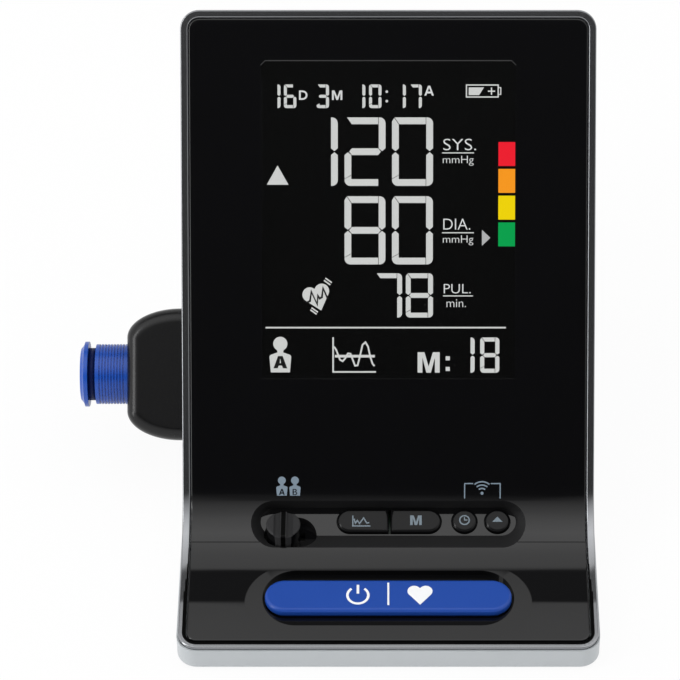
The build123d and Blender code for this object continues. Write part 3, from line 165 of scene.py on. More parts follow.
def smoothed(material, body, name, crease=28):
    """Stands a copy in for a CAD node: curves shaded smooth, edges over crease degrees kept sharp."""
    shape = merged(name)
    bmesh.ops.dissolve_degenerate(shape, edges=shape.edges, dist=merge_distance)
    for face in shape.faces:
        face.smooth = True
        face.material_index = 0
    for edge in shape.edges:
        edge.smooth = len(edge.link_faces) == 2 and edge.calc_face_angle() < math.radians(crease)
    skin = placed(name + "_skin", shape, material)
    weighting = skin.modifiers.new("weighting", "WEIGHTED_NORMAL")
    weighting.mode = "FACE_AREA"
    weighting.keep_sharp = True
    weighted = evaluated(skin)
    skin.modifiers.clear()
    skin.data = weighted
    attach(skin, body)
    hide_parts(name)
    return skin


silver_abs = moulding("silver_coated_abs", "#B6BBBE", "#C1C5C8", 0.38, 0.25, 0.25, {"Metallic": 0.25})
smoothed(silver_abs, "console", "bottom_shell")

# ---------------------------------------------------------------- feet and housing screws
# Four die-cut rubber pads glued into round recesses, dull black with a dusty bloom. Beside them, in deep
# towers, four zinc-plated steel screws hold shell and housing together; turning left fine rings on them.

pad_rubber = moulding("black_pad_rubber", "#1D1D1E", "#2A2A2B", 0.85, 0.35, 0.6)
dress(pad_rubber, "rubber_feet")
mark_depth = 0.02 * MM


def turned_steel(name, colour, roughness, ring):
    """Plated steel with fine tool marks, spaced by ring in millimetres, that streak its gloss."""
    material, tree, shader, place = finish(name, {"Base Color": linear(colour), "Metallic": 1.0})
    marks = noise(tree, place, ring * MM, detail=4.0)
    uneven_gloss(tree, shader, marks, roughness, spread=0.3)
    fine_relief(tree, shader, marks, strength=0.15, depth=mark_depth)
    return material


zinc_steel = turned_steel("zinc_plated_steel", "#A9ABAD", 0.35, 0.6)
dress(zinc_steel, "housing_screws", "key_board_screws", "main_board_screws", "lcd_holder_screws")

# ---------------------------------------------------------------- battery bay
# A grey ABS tray with leaf and plate contacts of nickel-plated spring steel holds four AA cells in plain
# sleeves. The door below is silver ABS with a finger recess; moulded ridges in it give the finger grip.

tray_abs = moulding("grey_tray_abs", "#4B4D50", "#55575A", 0.5, 0.4, 0.3)
dress(tray_abs, "battery_tray", "lcd_holder")
smoothed(silver_abs, "door", "battery_door")
spring_steel = turned_steel("nickel_plated_spring_steel", "#C4C2BC", 0.22, 1.5)
dress(spring_steel, "plate_contacts", "leaf_contacts", "radio_module")
cell_sleeve = moulding("shrink_sleeve", "#73777C", "#7D8186", 0.3, 1.2, 0.1)
dress(cell_sleeve, "battery_cells")

ridge_count = 5
ridge_pitch = 0.95 * MM
ridge_radius = 0.3 * MM
ridge_length = 11.0 * MM
ridge_sides = 20
recess_from_rear = 8.1 * MM
recess_depth = 0.66 * MM


def node_group(name, sizes):
    """Geometry Nodes tree with one number or material input for each of its named sizes."""
    tree = bpy.data.node_groups.new(name, "GeometryNodeTree")
    tree.interface.new_socket("Geometry", in_out="OUTPUT", socket_type="NodeSocketGeometry")
    for size, kind in sizes.items():
        tree.interface.new_socket(size, in_out="INPUT", socket_type=kind)
    return tree, add_node(tree, "NodeGroupInput").outputs, add_node(tree, "NodeGroupOutput").inputs


def grown(name, tree, values):
    """Plain mesh object of what a Geometry Nodes tree makes with these values."""
    holder = bpy.data.objects.new(name, bpy.data.meshes.new(name))
    bpy.context.scene.collection.objects.link(holder)
    modifier = holder.modifiers.new(name, "NODES")
    modifier.node_group = tree
    for socket in tree.interface.items_tree:
        if socket.in_out == "INPUT":
            modifier[socket.identifier] = values[socket.name]
    result = evaluated(holder)
    holder.modifiers.clear()
    holder.data = result
    return holder


tree, sizes, result = node_group("row_of_ridges", {
    "Count": "NodeSocketInt", "Pitch": "NodeSocketFloat", "Radius": "NodeSocketFloat",
    "Length": "NodeSocketFloat", "Start": "NodeSocketVector", "Material": "NodeSocketMaterial"})
step = add_node(tree, "ShaderNodeCombineXYZ", inputs={"Y": sizes["Pitch"]})
row = add_node(tree, "GeometryNodeMeshLine", inputs={
    "Count": sizes["Count"], "Start Location": sizes["Start"], "Offset": step.outputs[0]})
rod = add_node(tree, "GeometryNodeMeshCylinder", inputs={
    "Vertices": ridge_sides, "Radius": sizes["Radius"], "Depth": sizes["Length"]})
ridges = add_node(tree, "GeometryNodeInstanceOnPoints", inputs={
    "Points": row.outputs[0], "Instance": rod.outputs[0], "Rotation": (0, math.pi / 2, 0)})
real = add_node(tree, "GeometryNodeRealizeInstances", inputs={"Geometry": ridges.outputs[0]})
painted = add_node(tree, "GeometryNodeSetMaterial", inputs={
    "Geometry": real.outputs[0], "Material": sizes["Material"]})
tree.links.new(painted.outputs[0], result[0])

door_low, door_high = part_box("battery_door")
ridge_start = Vector(((door_low.x + door_high.x) / 2,
                      door_high.y - recess_from_rear - (ridge_count - 1) / 2 * ridge_pitch,
                      door_low.z + recess_depth))
door_ridges = grown("door_grip_ridges", tree, {
    "Count": ridge_count, "Pitch": ridge_pitch, "Radius": ridge_radius, "Length": ridge_length,
    "Start": ridge_start, "Material": silver_abs})
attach(door_ridges, "door")

# ---------------------------------------------------------------- pump, valve and air path
# A small diaphragm pump: a drawn steel motor can in a black rubber cradle, a natural acetal head, and
# silicone tubes pushed over barbs to a manifold with the pressure sensor and a square exhaust solenoid.

drawn_steel = turned_steel("drawn_motor_steel", "#9A9B9C", 0.3, 2.0)
dress(drawn_steel, "pump_motor", "pump_rotor", "exhaust_valve", "valve_plunger")
acetal = moulding("natural_acetal", "#D3D1C6", "#DCDAD0", 0.45, 0.5, 0.2, {"Subsurface Weight": 0.1})
dress(acetal, "pump_head", "air_manifold", "pressure_sensor", "coupling_nut")
black_rubber = moulding("black_nitrile_rubber", "#161617", "#1E1E1F", 0.7, 0.5, 0.4)
dress(black_rubber, "pump_cradle", "pump_diaphragm", "seal_ring", "contact_strip")
silicone = moulding("milky_silicone", "#CFCBC0", "#D8D5CC", 0.4, 1.0, 0.1, {"Subsurface Weight": 0.3})
dress(silicone, "pump_tube", "port_tube")

# ---------------------------------------------------------------- boards and switches
# Glass-epoxy boards under green solder resist, the copper tracks showing through as paler lines, with
# black moulded switches, chips and a buzzer soldered on.

board_material, tree, shader, place = finish("green_solder_resist", {"Roughness": 0.3})
track_pitch = 7.54 * MM
bands_per_scale = 10 / math.pi
tracks = add_node(tree, "ShaderNodeTexWave", {"wave_type": "BANDS", "bands_direction": "X"}, {
    "Vector": place, "Scale": 1 / (bands_per_scale * track_pitch), "Distortion": 6.0, "Detail": 1.0})
gap_until, track_from = 0.55, 0.65
edges = add_node(tree, "ShaderNodeMapRange", inputs={
    "Value": tracks.outputs["Fac"], "From Min": gap_until, "From Max": track_from})
resist = two_tone(tree, edges.outputs["Result"], linear("#0F4A2A"), linear("#2C7A48"))
tree.links.new(resist, shader.inputs["Base Color"])
dress(board_material, "main_board", "key_board", "start_board")
switch_nylon = moulding("black_switch_nylon", "#151515", "#1C1C1C", 0.5, 0.4, 0.2)
dress(switch_nylon, "key_switches", "start_switch", "slide_switch", "switch_slider", "board_chips",
      "buzzer")

# ---------------------------------------------------------------- display glass
# A negative liquid-crystal glass lit from behind: a polished black plate on which only the driven
# segments shine, a soft neutral white. The light guide behind it is milky acrylic.

guide_acrylic = moulding("milky_acrylic", "#DADCDD", "#E4E6E7", 0.35, 0.8, 0.1)
dress(guide_acrylic, "backlight")
no_shine = {"Specular IOR Level": 0.05}
black_glass = moulding("black_display_glass", "#020202", "#030303", 0.06, 3.0, 0.0, no_shine)
dress(black_glass, "lcd_glass")

display_slope = math.radians(50.5)
glass_thickness = 1.8 * MM
window_thickness = 1.5 * MM
print_thickness = 0.03 * MM
display_up = Vector((0, math.cos(display_slope), math.sin(display_slope)))


def slab_front(name, thickness):
    """Middle of the front face of a plate that leans back with the display."""
    low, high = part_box(name)
    height = (high.z - low.z - thickness * display_up.y) / display_up.z
    foot = Vector(((low.x + high.x) / 2, low.y, high.z - height * display_up.z))
    return foot + display_up * height / 2


def sloped(origin, slope, lift=0.0):
    """Matrix from millimetres on a plane that leans back by slope to metres in the frame of the part."""
    turned = Matrix.Translation(origin) @ Matrix.Rotation(slope, 4, "X")
    return turned @ Matrix.Translation((0, 0, lift)) @ Matrix.Scale(MM, 4)


def arc(centre, radius, start, end, steps=10):
    """Points on an arc, angles in degrees counted from +X."""
    angles = [math.radians(start + (end - start) * i / steps) for i in range(steps + 1)]
    return [(centre[0] + radius * math.cos(a), centre[1] + radius * math.sin(a)) for a in angles]


def box_outline(centre, width, height):
    """Corners of a rectangle."""
    x, y = centre
    return [(x - width / 2, y - height / 2), (x + width / 2, y - height / 2),
            (x + width / 2, y + height / 2), (x - width / 2, y + height / 2)]


sharpest_mitre = 0.4


def stroke(points, width):
    """Outline of a line of even width through points; its mitres are cut short at sharp turns."""
    left, right = [], []
    for i, point in enumerate(points):
        before = Vector(points[max(i - 1, 0)])
        after = Vector(points[min(i + 1, len(points) - 1)])
        here = Vector(point)
        first = (here - before).normalized() if i else (after - here).normalized()
        last = (after - here).normalized() if i < len(points) - 1 else first
        mitre = (Vector((-first.y, first.x)) + Vector((-last.y, last.x))).normalized()
        reach = width / 2 / max(mitre.dot(Vector((-first.y, first.x))), sharpest_mitre)
        left.append(tuple(here + mitre * reach))
        right.append(tuple(here - mitre * reach))
    return left + right[::-1]


def meshed(curve):
    """Mesh of a curve or a text."""
    holder = bpy.data.objects.new(curve.name, curve)
    bpy.context.scene.collection.objects.link(holder)
    mesh = evaluated(holder)
    bpy.data.objects.remove(holder)
    return mesh


def flat_mesh(*outlines):
    """Thin plate inside a closed outline in millimetres; any further outlines are its holes."""
    curve = bpy.data.curves.new("outlines", "CURVE")
    curve.dimensions = "2D"
    curve.fill_mode = "BOTH"
    curve.extrude = print_thickness / MM / 2
    for outline in outlines:
        spline = curve.splines.new("POLY")
        spline.points.add(len(outline) - 1)
        for point, (x, y) in zip(spline.points, outline):
            point.co = (x, y, 0, 1)
        spline.use_cyclic_u = True
    return meshed(curve)


def word_mesh(text, centre, width, height, weight=0.0):
    """Word as a thin plate, scaled to fill a box in millimetres; weight fattens its strokes."""
    curve = bpy.data.curves.new("word", "FONT")
    curve.body = text
    curve.fill_mode = "BOTH"
    curve.offset = weight
    curve.resolution_u = 4
    mesh = meshed(curve)
    xs = [v.co.x for v in mesh.vertices]
    ys = [v.co.y for v in mesh.vertices]
    to_middle = Matrix.Translation((-(max(xs) + min(xs)) / 2, -(max(ys) + min(ys)) / 2, 0))
    stretch = Matrix.Diagonal((width / (max(xs) - min(xs)), height / (max(ys) - min(ys)), 1, 1))
    mesh.transform(Matrix.Translation((centre[0], centre[1], 0)) @ stretch @ to_middle)
    solid = bmesh.new()
    solid.from_mesh(mesh)
    shortest_edge = 0.0001
    bmesh.ops.dissolve_degenerate(solid, dist=shortest_edge, edges=solid.edges)
    raised = bmesh.ops.extrude_face_region(solid, geom=solid.faces[:])["geom"]
    bmesh.ops.translate(solid, vec=(0, 0, print_thickness / MM),
                        verts=[item for item in raised if isinstance(item, bmesh.types.BMVert)])
    solid.to_mesh(mesh)
    solid.free()
    return mesh


def surface(name):
    """A CAD node's faces, for finding where a line meets them."""
    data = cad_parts[name].data
    return BVHTree.FromPolygons([v.co for v in data.vertices], [p.vertices for p in data.polygons])


print_clearance = 0.01 * MM
print_search = 6 * MM
print_merge = 0.002


def printed(name, material, place, body, outlines=(), words=(), under=None, coat=0.0):
    """Print of outlines, or tuples of outline and holes, and words on a plane, or laid down on a CAD node."""
    whole = bmesh.new()
    plates = [flat_mesh(*shape) if isinstance(shape, tuple) else flat_mesh(shape) for shape in outlines]
    for mesh in plates + [word_mesh(*word) for word in words]:
        whole.from_mesh(mesh)
    bmesh.ops.remove_doubles(whole, verts=whole.verts, dist=print_merge)
    bmesh.ops.recalc_face_normals(whole, faces=whole.faces)
    if under:
        underside = min(vertex.co.z for vertex in whole.verts)
        faces = surface(under)
        outward = (place.to_3x3() @ Vector((0, 0, 1))).normalized()
        for vertex in whole.verts:
            lift = (vertex.co.z - underside) * MM + coat + print_clearance
            spot = place @ Vector((vertex.co.x, vertex.co.y, 0))
            hit = faces.ray_cast(spot + outward * print_search, -outward)[0]
            vertex.co = (hit or spot) + outward * lift
    else:
        whole.transform(place)
    piece = placed(name, whole, material)
    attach(piece, body)


glow_drift = 30 * MM
dimmest = 0.94


def shining(name, colour):
    """Ink that glows a little unevenly, as the light guide is: backlit in the display, painted light on the
    scale bars.
    """
    material, tree, shader, place = finish(name, {
        "Base Color": linear("#050505"), "Roughness": 0.6, "Emission Strength": 1.0, **no_shine})
    glow = noise(tree, place, glow_drift)
    tint = two_tone(tree, glow, linear(colour), [c * dimmest for c in linear(colour)])
    tree.links.new(tint, shader.inputs["Emission Color"])
    return material


segment_light = shining("lit_segments", "#DEDEDC")
word_light = shining("lit_words", "#E6E6E6")
glass_front = slab_front("lcd_glass", glass_thickness)
print_lift = 0.02 * MM
lcd_plane = sloped(glass_front, display_slope, print_lift)


def lit(name, outlines=(), words=(), light=segment_light, plane=lcd_plane):
    """Symbols, digits or words that shine in the display glass."""
    printed(name, light, plane, "console", outlines, words)


segment_gap = 0.14
which_segments = {"0": "abcdef", "1": "bc", "2": "abged", "3": "abgcd", "6": "afgecd", "7": "abc",
                  "8": "abcdefg"}


def segments(digit, centre, width, height, bar):
    """Outlines of a digit's segments: mitred at the left corners, rounded at the right ones."""
    gap = min(segment_gap, bar * 0.14)
    bend = bar * 0.85
    middle = height / 2
    inner = width - bar
    shapes = {
        "a": [(0.3 * bar + gap, height), (inner - gap, height), (inner - gap, height - bar),
              (bar + gap, height - bar)],
        "b": [(inner, height)] + arc((width - bend, height - bend), bend, 90, 0, 5)
             + [(width, middle + bar / 2), (width - bar / 2, middle + gap), (inner, middle + bar / 2)],
        "c": [(inner, 0)] + arc((width - bend, bend), bend, -90, 0, 5)
             + [(width, middle - bar / 2), (width - bar / 2, middle - gap), (inner, middle - bar / 2)],
        "d": [(0, bar), (bar, 1.55 * bar), (bar, bar), (inner - gap, bar), (inner - gap, 0)]
             + arc((bend, bend), bend, -90, -180, 5),
        "e": [(0, bar + gap), (0, middle - bar / 2), (bar / 2, middle - gap), (bar, middle - bar / 2),
              (bar, 1.55 * bar + gap)],
        "f": [(0, middle + bar / 2), (bar / 2, middle + gap), (bar, middle + bar / 2),
              (bar, height - bar - gap / 2), (0.32 * bar, height - 0.08 * bar), (0, height - 0.6 * bar)],
        "g": [(0.6 * bar + gap, middle), (1.1 * bar, middle + bar / 2), (width - 1.1 * bar, middle + bar / 2),
              (width - 0.6 * bar - gap, middle), (width - 1.1 * bar, middle - bar / 2),
              (1.1 * bar, middle - bar / 2)],
    }
    left, foot = centre[0] - width / 2, centre[1] - height / 2
    return [[(left + x, foot + y) for x, y in shapes[letter]] for letter in which_segments[digit]]


# for each row its digits, with their distance right of the glass's middle, the row's height above the
# middle, and a digit's width, height and bar
rows = {
    "pressure_high": ((("1", -18.88), ("2", -6.19), ("0", 6.44)), 18.1, 10.9, 18.2, 1.8),
    "pressure_low": ((("8", -6.22), ("0", 6.42)), -2.85, 10.9, 18.2, 1.8),
    "pulse_rate": ((("7", 0.05), ("8", 8.3)), -20.25, 7.25, 11.85, 1.3),
    "date_and_time": ((("1", -30.27), ("6", -26.06), ("3", -17.4), ("1", -7.74), ("0", -3.46),
                       ("1", 3.01), ("7", 7.25)), 32.8, 3.31, 6.27, 0.8),
    "memory_number": ((("1", 20.52), ("8", 27.13)), -36.27, 5.13, 9.5, 1.1),
}
for name, (digits, height_above, digit_width, digit_height, bar) in rows.items():
    shapes = []
    for digit, across in digits:
        shapes += segments(digit, (across, height_above), digit_width, digit_height, bar)
    lit(name + "_digits", shapes)

colon_dot = 0.36
clock_colon = [arc((-0.4, y), colon_dot, 0, 324, 9) for y in (34.02, 31.52)]
memory_colon = [box_outline((15.9, y), 1.1, 1.1) for y in (-37.12, -39.98)]
lit("colons", clock_colon + memory_colon)

# ---------------------------------------------------------------- display symbols
# The fixed symbols etched in the same glass: arrow marks, battery, heart with its pulse, user, graph,
# the rule above the bottom row and the names of the three readings.

arrow_up = [(-32.35, 9.3), (-26.55, 9.3), (-29.45, 14.45)]
arrow_right = [(24.95, -2.68), (24.95, -6.98), (27.2, -4.83)]
rule = box_outline((-0.69, -28.88), 64.2, 0.42)
underlines = [box_outline((18.55, 17.78), 8.5, 0.28), box_outline((18.55, -3.49), 8.5, 0.28),
              box_outline((18.6, -20.38), 8.0, 0.28)]
battery_frame = box_outline((24.96, 34.2), 8.75, 3.5)
battery_inside = box_outline((24.96, 34.2), 8.1, 2.85)
battery_nub = stroke([(29.34, 35.08), (29.85, 35.08), (29.85, 33.3), (29.34, 33.3)], 0.28)
battery_charge = [(21.35, 35.15), (25.4, 35.15), (24.1, 33.1), (21.35, 33.1)]
plus = (27.4, 34.15)
battery_plus = [(plus[0] + x, plus[1] + y) for x, y in (
    (-0.95, -0.17), (-0.17, -0.17), (-0.17, -0.95), (0.17, -0.95), (0.17, -0.17), (0.95, -0.17),
    (0.95, 0.17), (0.17, 0.17), (0.17, 0.95), (-0.17, 0.95), (-0.17, 0.17), (-0.95, 0.17))]
lit("screen_marks", [arrow_up, rule, *underlines, (battery_frame, battery_inside), battery_nub,
                     battery_charge, battery_plus])
faint_light = shining("faint_segments", "#BEBEBE")
lit("scale_arrow", [arrow_right], light=faint_light)


def heart(centre, width, tilt=0.0):
    """Heart outline: two round lobes and straight sides down to the tip, turned by tilt degrees."""
    lobe = width * 0.27
    points = arc((-width / 2 + lobe, 0), lobe, 215, 35, 12)
    points += arc((width / 2 - lobe, 0), lobe, 145, -35, 12)
    points.append((0, -width * 0.68))
    turn = Matrix.Rotation(math.radians(tilt), 2)
    return [(centre[0] + p.x, centre[1] + p.y) for p in (turn @ Vector(point) for point in points)]


heart_centre = (-19.36, -19.54)
heart_tilt = 17.0


def beside_heart(points):
    """Points given from the heart's centre, moved to where it is."""
    return [(heart_centre[0] + x, heart_centre[1] + y) for x, y in points]


half_bar = (0.84, -0.6)
shake_bars = []
for across, up in ((3.04, 2.72), (3.43, 3.32), (-0.3, -4.6), (-0.62, -5.15)):
    ends = [(across - half_bar[0], up - half_bar[1]), (across + half_bar[0], up + half_bar[1])]
    shake_bars.append(stroke(beside_heart(ends), 0.36))
lit("heart_sign", [heart(heart_centre, 7.3, heart_tilt)] + shake_bars)
pulse = [(-2.5, -2.7), (-2.04, -2.45), (-1.54, -2.25), (-1.18, 0.3), (0.38, -3.1), (0.56, -0.8),
         (1.03, -1.55), (1.65, -1.15), (1.95, 1.25), (3.25, -1.75)]
black_ink = moulding("black_segment_gap", "#020202", "#040404", 0.4, 1.0, 0.0)
second_lift = 0.06 * MM
ink_plane = sloped(glass_front, display_slope, second_lift)
lit("heart_pulse", [stroke(beside_heart(pulse), 0.52)], light=black_ink, plane=ink_plane)


def user_figure(centre, size, head, neck):
    """Head and shoulders in one outline, size wide."""
    x, y = centre
    half = size / 2
    head_y = y + head * 1.75
    body = [(x - half * 0.88, y - half * 1.5), (x + half * 0.88, y - half * 1.5), (x + half, y - half * 0.1)]
    body += arc((x + half * 0.72, y - half * 0.1), half * 0.28, 0, 90, 4)
    body += [(x + neck, y + half * 0.35)]
    body += arc((x, head_y), head, -62, 242, 20)
    body += [(x - neck, y + half * 0.35)]
    body += arc((x - half * 0.72, y - half * 0.1), half * 0.28, 90, 180, 4)
    return body


lit("user_sign", [user_figure((-28.87, -36.55), 5.8, 1.9, 0.75)])


def letter_a(centre, width, height, bar):
    """Block capital A as its outline and its hole."""
    left, foot, foot_width = centre[0] - width / 2, centre[1] - height / 2, bar * 1.15
    outer = [(0, 0), (width / 2 - bar * 0.62, height), (width / 2 + bar * 0.62, height), (width, 0),
             (width - foot_width, 0), (width * 0.93 - foot_width, height * 0.22),
             (width * 0.07 + foot_width, height * 0.22), (foot_width, 0)]
    hole = [(width * 0.14 + foot_width, height * 0.42), (width * 0.86 - foot_width, height * 0.42),
            (width / 2, height * 0.8)]
    return tuple([(left + x, foot + y) for x, y in outline] for outline in (outer, hole))


def letter_m(centre, width, height, bar):
    """Block capital M as one outline."""
    left, foot, mid = centre[0] - width / 2, centre[1] - height / 2, width / 2
    half = [(0, 0), (0, height), (bar * 1.35, height), (mid, height * 0.3)]
    notch = [(mid - bar * 0.45, 0), (bar * 0.95, height * 0.74), (bar * 0.95, 0)]
    shape = half + [(width - x, y) for x, y in half[2::-1]] + [(width - x, y) for x, y in notch[::-1]] + notch
    return [(left + x, foot + y) for x, y in shape]


lit("user_letter", [letter_a((-28.87, -38.15), 3.7, 3.3, 1.0)], light=black_ink, plane=ink_plane)

axes_line = stroke([(-14.75, -31.45), (-14.75, -40.78), (-3.3, -40.78)], 0.42)
mean_line = box_outline((-8.95, -36.55), 10.7, 0.7)
wave_spots = [(-14.5, -34.0), (-13.9, -34.9), (-12.9, -37.5), (-12.2, -37.9), (-11.5, -37.1),
              (-10.8, -35.8), (-10.1, -35.9), (-9.5, -37.5), (-8.9, -39.1), (-8.2, -39.0), (-7.5, -36.2),
              (-6.9, -33.5), (-6.1, -32.8), (-5.4, -34.0), (-4.8, -36.8), (-4.2, -38.6), (-3.7, -39.2)]
lit("graph_axes", [axes_line, mean_line])
lit("graph_wave", [stroke(wave_spots, 0.45)], plane=ink_plane)

thin, bold = -0.01, 0.02
lit("reading_names",
    [letter_m((-13.58, 33.08), 2.75, 2.52, 0.52), letter_a((10.83, 34.28), 2.52, 2.58, 0.46)],
    [("SYS.", (18.99, 20.0), 8.75, 3.05, thin), ("mmHg", (18.6, 15.71), 8.2, 2.65, thin),
     ("DIA.", (18.25, -1.2), 7.2, 2.95, thin), ("mmHg", (18.6, -5.5), 8.1, 2.65, thin),
     ("PUL.", (18.4, -18.45), 7.2, 2.5, thin), ("min.", (18.15, -22.34), 5.2, 2.1, thin),
     ("D", (-22.58, 33.1), 2.25, 2.48, bold)], light=word_light)
lit("memory_letter", [letter_m((10.79, -38.23), 5.9, 5.5, 1.35)])

# ---------------------------------------------------------------- rear housing
# The wedge behind the face: one hollow moulding with rounded edges, in the same silver-coated ABS as the
# bottom shell, which closes the case at the back and carries the pod on its left side.

smoothed(silver_abs, "console", "rear_housing")

# ---------------------------------------------------------------- rim
# A thin frame of ABS under a satin metallic coat, rounded at both edges. It mirrors what it faces: dark
# beside the display, bright round the apron. Under its outer edge a matt black band paints the shade in
# the parting line, and round the apron black strips paint the shade of the gap that parts it from the panel.

rim_coat = moulding("metallic_coat", "#8F9194", "#98999C", 0.13, 0.2, 0.08, {"Metallic": 0.95})
smoothed(rim_coat, "console", "rim_frame")

# matt black that paints the shade in the parting line and in the gap round the apron
gap_shade_black = moulding("parting_line_shadow", "#030303", "#050505", 0.8, 0.5, 0.2, no_shine)
seam_height = 0.4 * MM
seam_proud = 0.015 * MM
seam_root = 0.05 * MM
rim_lean = math.radians(28)
into_case = Vector((0, math.sin(rim_lean), -math.cos(rim_lean)))
least_facing = 0.8
rim = merged("rim_frame")


def is_underside(face):
    """Whether a face of the rim lies against the case, at the steep part as at the flat one."""
    return face.normal.dot(into_case) > least_facing


def closed_band(rings):
    """Quads from each ring of points to the next, and from the last to the first."""
    shape = bmesh.new()
    rows = [[shape.verts.new(point) for point in ring] for ring in rings]
    for ring, following in zip(rows, rows[1:] + rows[:1]):
        for i in range(len(ring)):
            shape.faces.new((ring[i], ring[i - 1], following[i - 1], following[i]))
    bmesh.ops.recalc_face_normals(shape, faces=shape.faces)
    return shape


# the painted shade band of the parting line follows the edges between the rim's underside and its outside, one
# closed loop
sharp = [edge for edge in rim.edges
         if len(edge.link_faces) == 2 and sum(is_underside(face) for face in edge.link_faces) == 1]
neighbours = {}
for edge in sharp:
    for vertex in edge.verts:
        neighbours.setdefault(vertex, []).append(edge.other_vert(vertex))
first = min(neighbours, key=lambda vertex: (vertex.co.x, vertex.index))
loop, previous = [first], None
while True:
    onward = [vertex for vertex in neighbours[loop[-1]] if vertex != previous]
    previous = loop[-1]
    if onward[0] == first:
        break
    loop.append(onward[0])
profile = ((seam_proud, 0.0), (seam_proud, seam_height), (-seam_root, seam_height), (-seam_root, 0.0))
rings = []
for vertex in loop:
    outward = sum((f.normal for f in vertex.link_faces if not is_underside(f)), Vector()).normalized()
    downward = sum((f.normal for f in vertex.link_faces if is_underside(f)), Vector()).normalized()
    rings.append([vertex.co + outward * proud + downward * depth for proud, depth in profile])
rim.free()
# a matt black band, just proud of the rim, paints the shade in the parting line
parting_line_shade = placed("parting_line_shade", closed_band(rings), gap_shade_black)
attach(parting_line_shade, "console")

# painted shade of the apron's gap: narrow matt black strips on the rim's inner half, which end one after
# another
rim_low, rim_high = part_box("rim_frame")
rim_middle = (rim_low.x + rim_high.x) / 2
apron_slope = math.radians(6)
rim_depth = 0.8 * MM
apron_front = Vector((rim_middle, rim_low.y, rim_low.z + rim_depth / math.cos(apron_slope)))
half_width = (rim_high.x - rim_low.x) / 2 / MM
rim_corner = 5.0


def rim_path(inset, length):
    """Line inset from the rim's outer edge: down the left side, round the front and up the right."""
    reach = half_width - inset
    bend = rim_corner - inset
    points = [(-reach, up) for up in range(length, int(rim_corner), -1)]
    points += arc((-half_width + rim_corner, rim_corner), bend, 180, 270, 16)
    points += arc((half_width - rim_corner, rim_corner), bend, 270, 360, 16)
    return points + [(reach, up) for up in range(int(rim_corner) + 1, length + 1)]


# strips of painted shade, each as inset, width and length
gap_shade_strips = ((1.2, 0.28, 18), (1.5, 0.32, 22), (1.74, 0.18, 27), (1.88, 0.12, 32))
printed("rim_shadow_gap", gap_shade_black, sloped(apron_front, apron_slope), "console",
        [stroke(rim_path(inset, length), width) for inset, width, length in gap_shade_strips], under="rim_frame")

# ---------------------------------------------------------------- face panel and its prints
# One black ABS moulding, polished in the tool to a piano finish; only a very faint waviness shows in its
# reflections. The walls of the key trough and of the knob's pocket stay satin, in a lighter black that paints
# the light they catch. Tampo-printed signs in blue-grey name the user switch and the two round keys.

gloss_black = moulding("piano_black_abs", "#060607", "#08080A", 0.045, 2.5, 0.02, {"IOR": 1.5})
face_panel = smoothed(gloss_black, "console", "face_panel", crease=14)
# satin finish for the walls, in a lighter black than the panel: painted light on one moulding
lightened_satin_wall = moulding("satin_wall_painted_light", "#141415", "#19191A", 0.5, 0.3, 0.1)


def tilted(slope):
    """Direction straight out of a plane that leans back by slope."""
    return Vector((0, -math.sin(slope), math.cos(slope)))


trough_slope = math.radians(20)
trough_up = tilted(trough_slope)
keys_low, keys_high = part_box("average_button")
trough_reach = Vector((38.0, 7.0)) * MM
wall_facing = (-0.3, 0.85)


def is_trough_wall(face):
    """Whether a face of the panel is a wall, not the floor, of the trough or of the pocket in it."""
    across = abs(face.center.x - rim_middle) < trough_reach.x
    along = keys_low.y - trough_reach.y < face.center.y < keys_high.y + trough_reach.y
    return across and along and wall_facing[0] < face.normal.dot(trough_up) < wall_facing[1]


def recoat(piece, material, chosen):
    """Gives a second finish to those faces of a piece for which chosen is true."""
    piece.data.materials.append(material)
    for face in piece.data.polygons:
        if chosen(face):
            face.material_index = 1


recoat(face_panel, lightened_satin_wall, is_trough_wall)

print_grey = moulding("blue_grey_tampo_ink", "#728290", "#7C8C9A", 0.5, 0.3, 0.1)
window_front = slab_front("display_window", window_thickness)
window_to_foot = 71.4 * MM
foot_plane = sloped(window_front - display_up * window_to_foot, display_slope)

first_user, second_user = -28.45, -24.95
sign_width = 3.0
letter_coat = 0.04 * MM
printed("user_signs", print_grey, foot_plane, "console",
        [user_figure((across, 0.0), sign_width, 1.05, 0.4) for across in (first_user, second_user)],
        under="face_panel")
printed("user_sign_letters", gloss_black, foot_plane, "console",
        [letter_a((first_user, -1.25), 1.6, 1.6, 0.32)], [("B", (second_user, -1.25), 1.25, 1.6)],
        under="face_panel", coat=letter_coat)
bracket_line, arc_line, dot_radius = 0.3, 0.36, 0.42
bracket_left = stroke([(20.4, -3.0), (20.4, 1.0), (22.7, 1.0)], bracket_line)
bracket_right = stroke([(27.4, 1.0), (29.9, 1.0), (29.9, -3.0)], bracket_line)
radio_foot = (25.05, -1.6)
radio_dot = arc(radio_foot, dot_radius, 0, 330, 11)
radio_arcs = [stroke(arc(radio_foot, radius, 50, 130, 8), arc_line) for radius in (1.3, 2.2, 3.1)]
printed("pairing_sign", print_grey, foot_plane, "console",
        [bracket_left, bracket_right, radio_dot] + radio_arcs, under="face_panel")

# ---------------------------------------------------------------- display window
# A clear acrylic lens, cut to size and glued flush in the panel, with a fine raised bead along its top and
# sides. Along its right edge the four bars of the pressure scale are printed in plain colours that glow:
# painted light.

clear_acrylic, tree, shader, place = finish("clear_acrylic", {
    "Base Color": linear("#F4F6F6"), "IOR": 1.49, "Transmission Weight": 1.0})
wipe_marks = 6 * MM
uneven_gloss(tree, shader, noise(tree, place, wipe_marks, detail=3.0), roughness=0.0225, spread=1 / 3)
dress(clear_acrylic, "display_window")

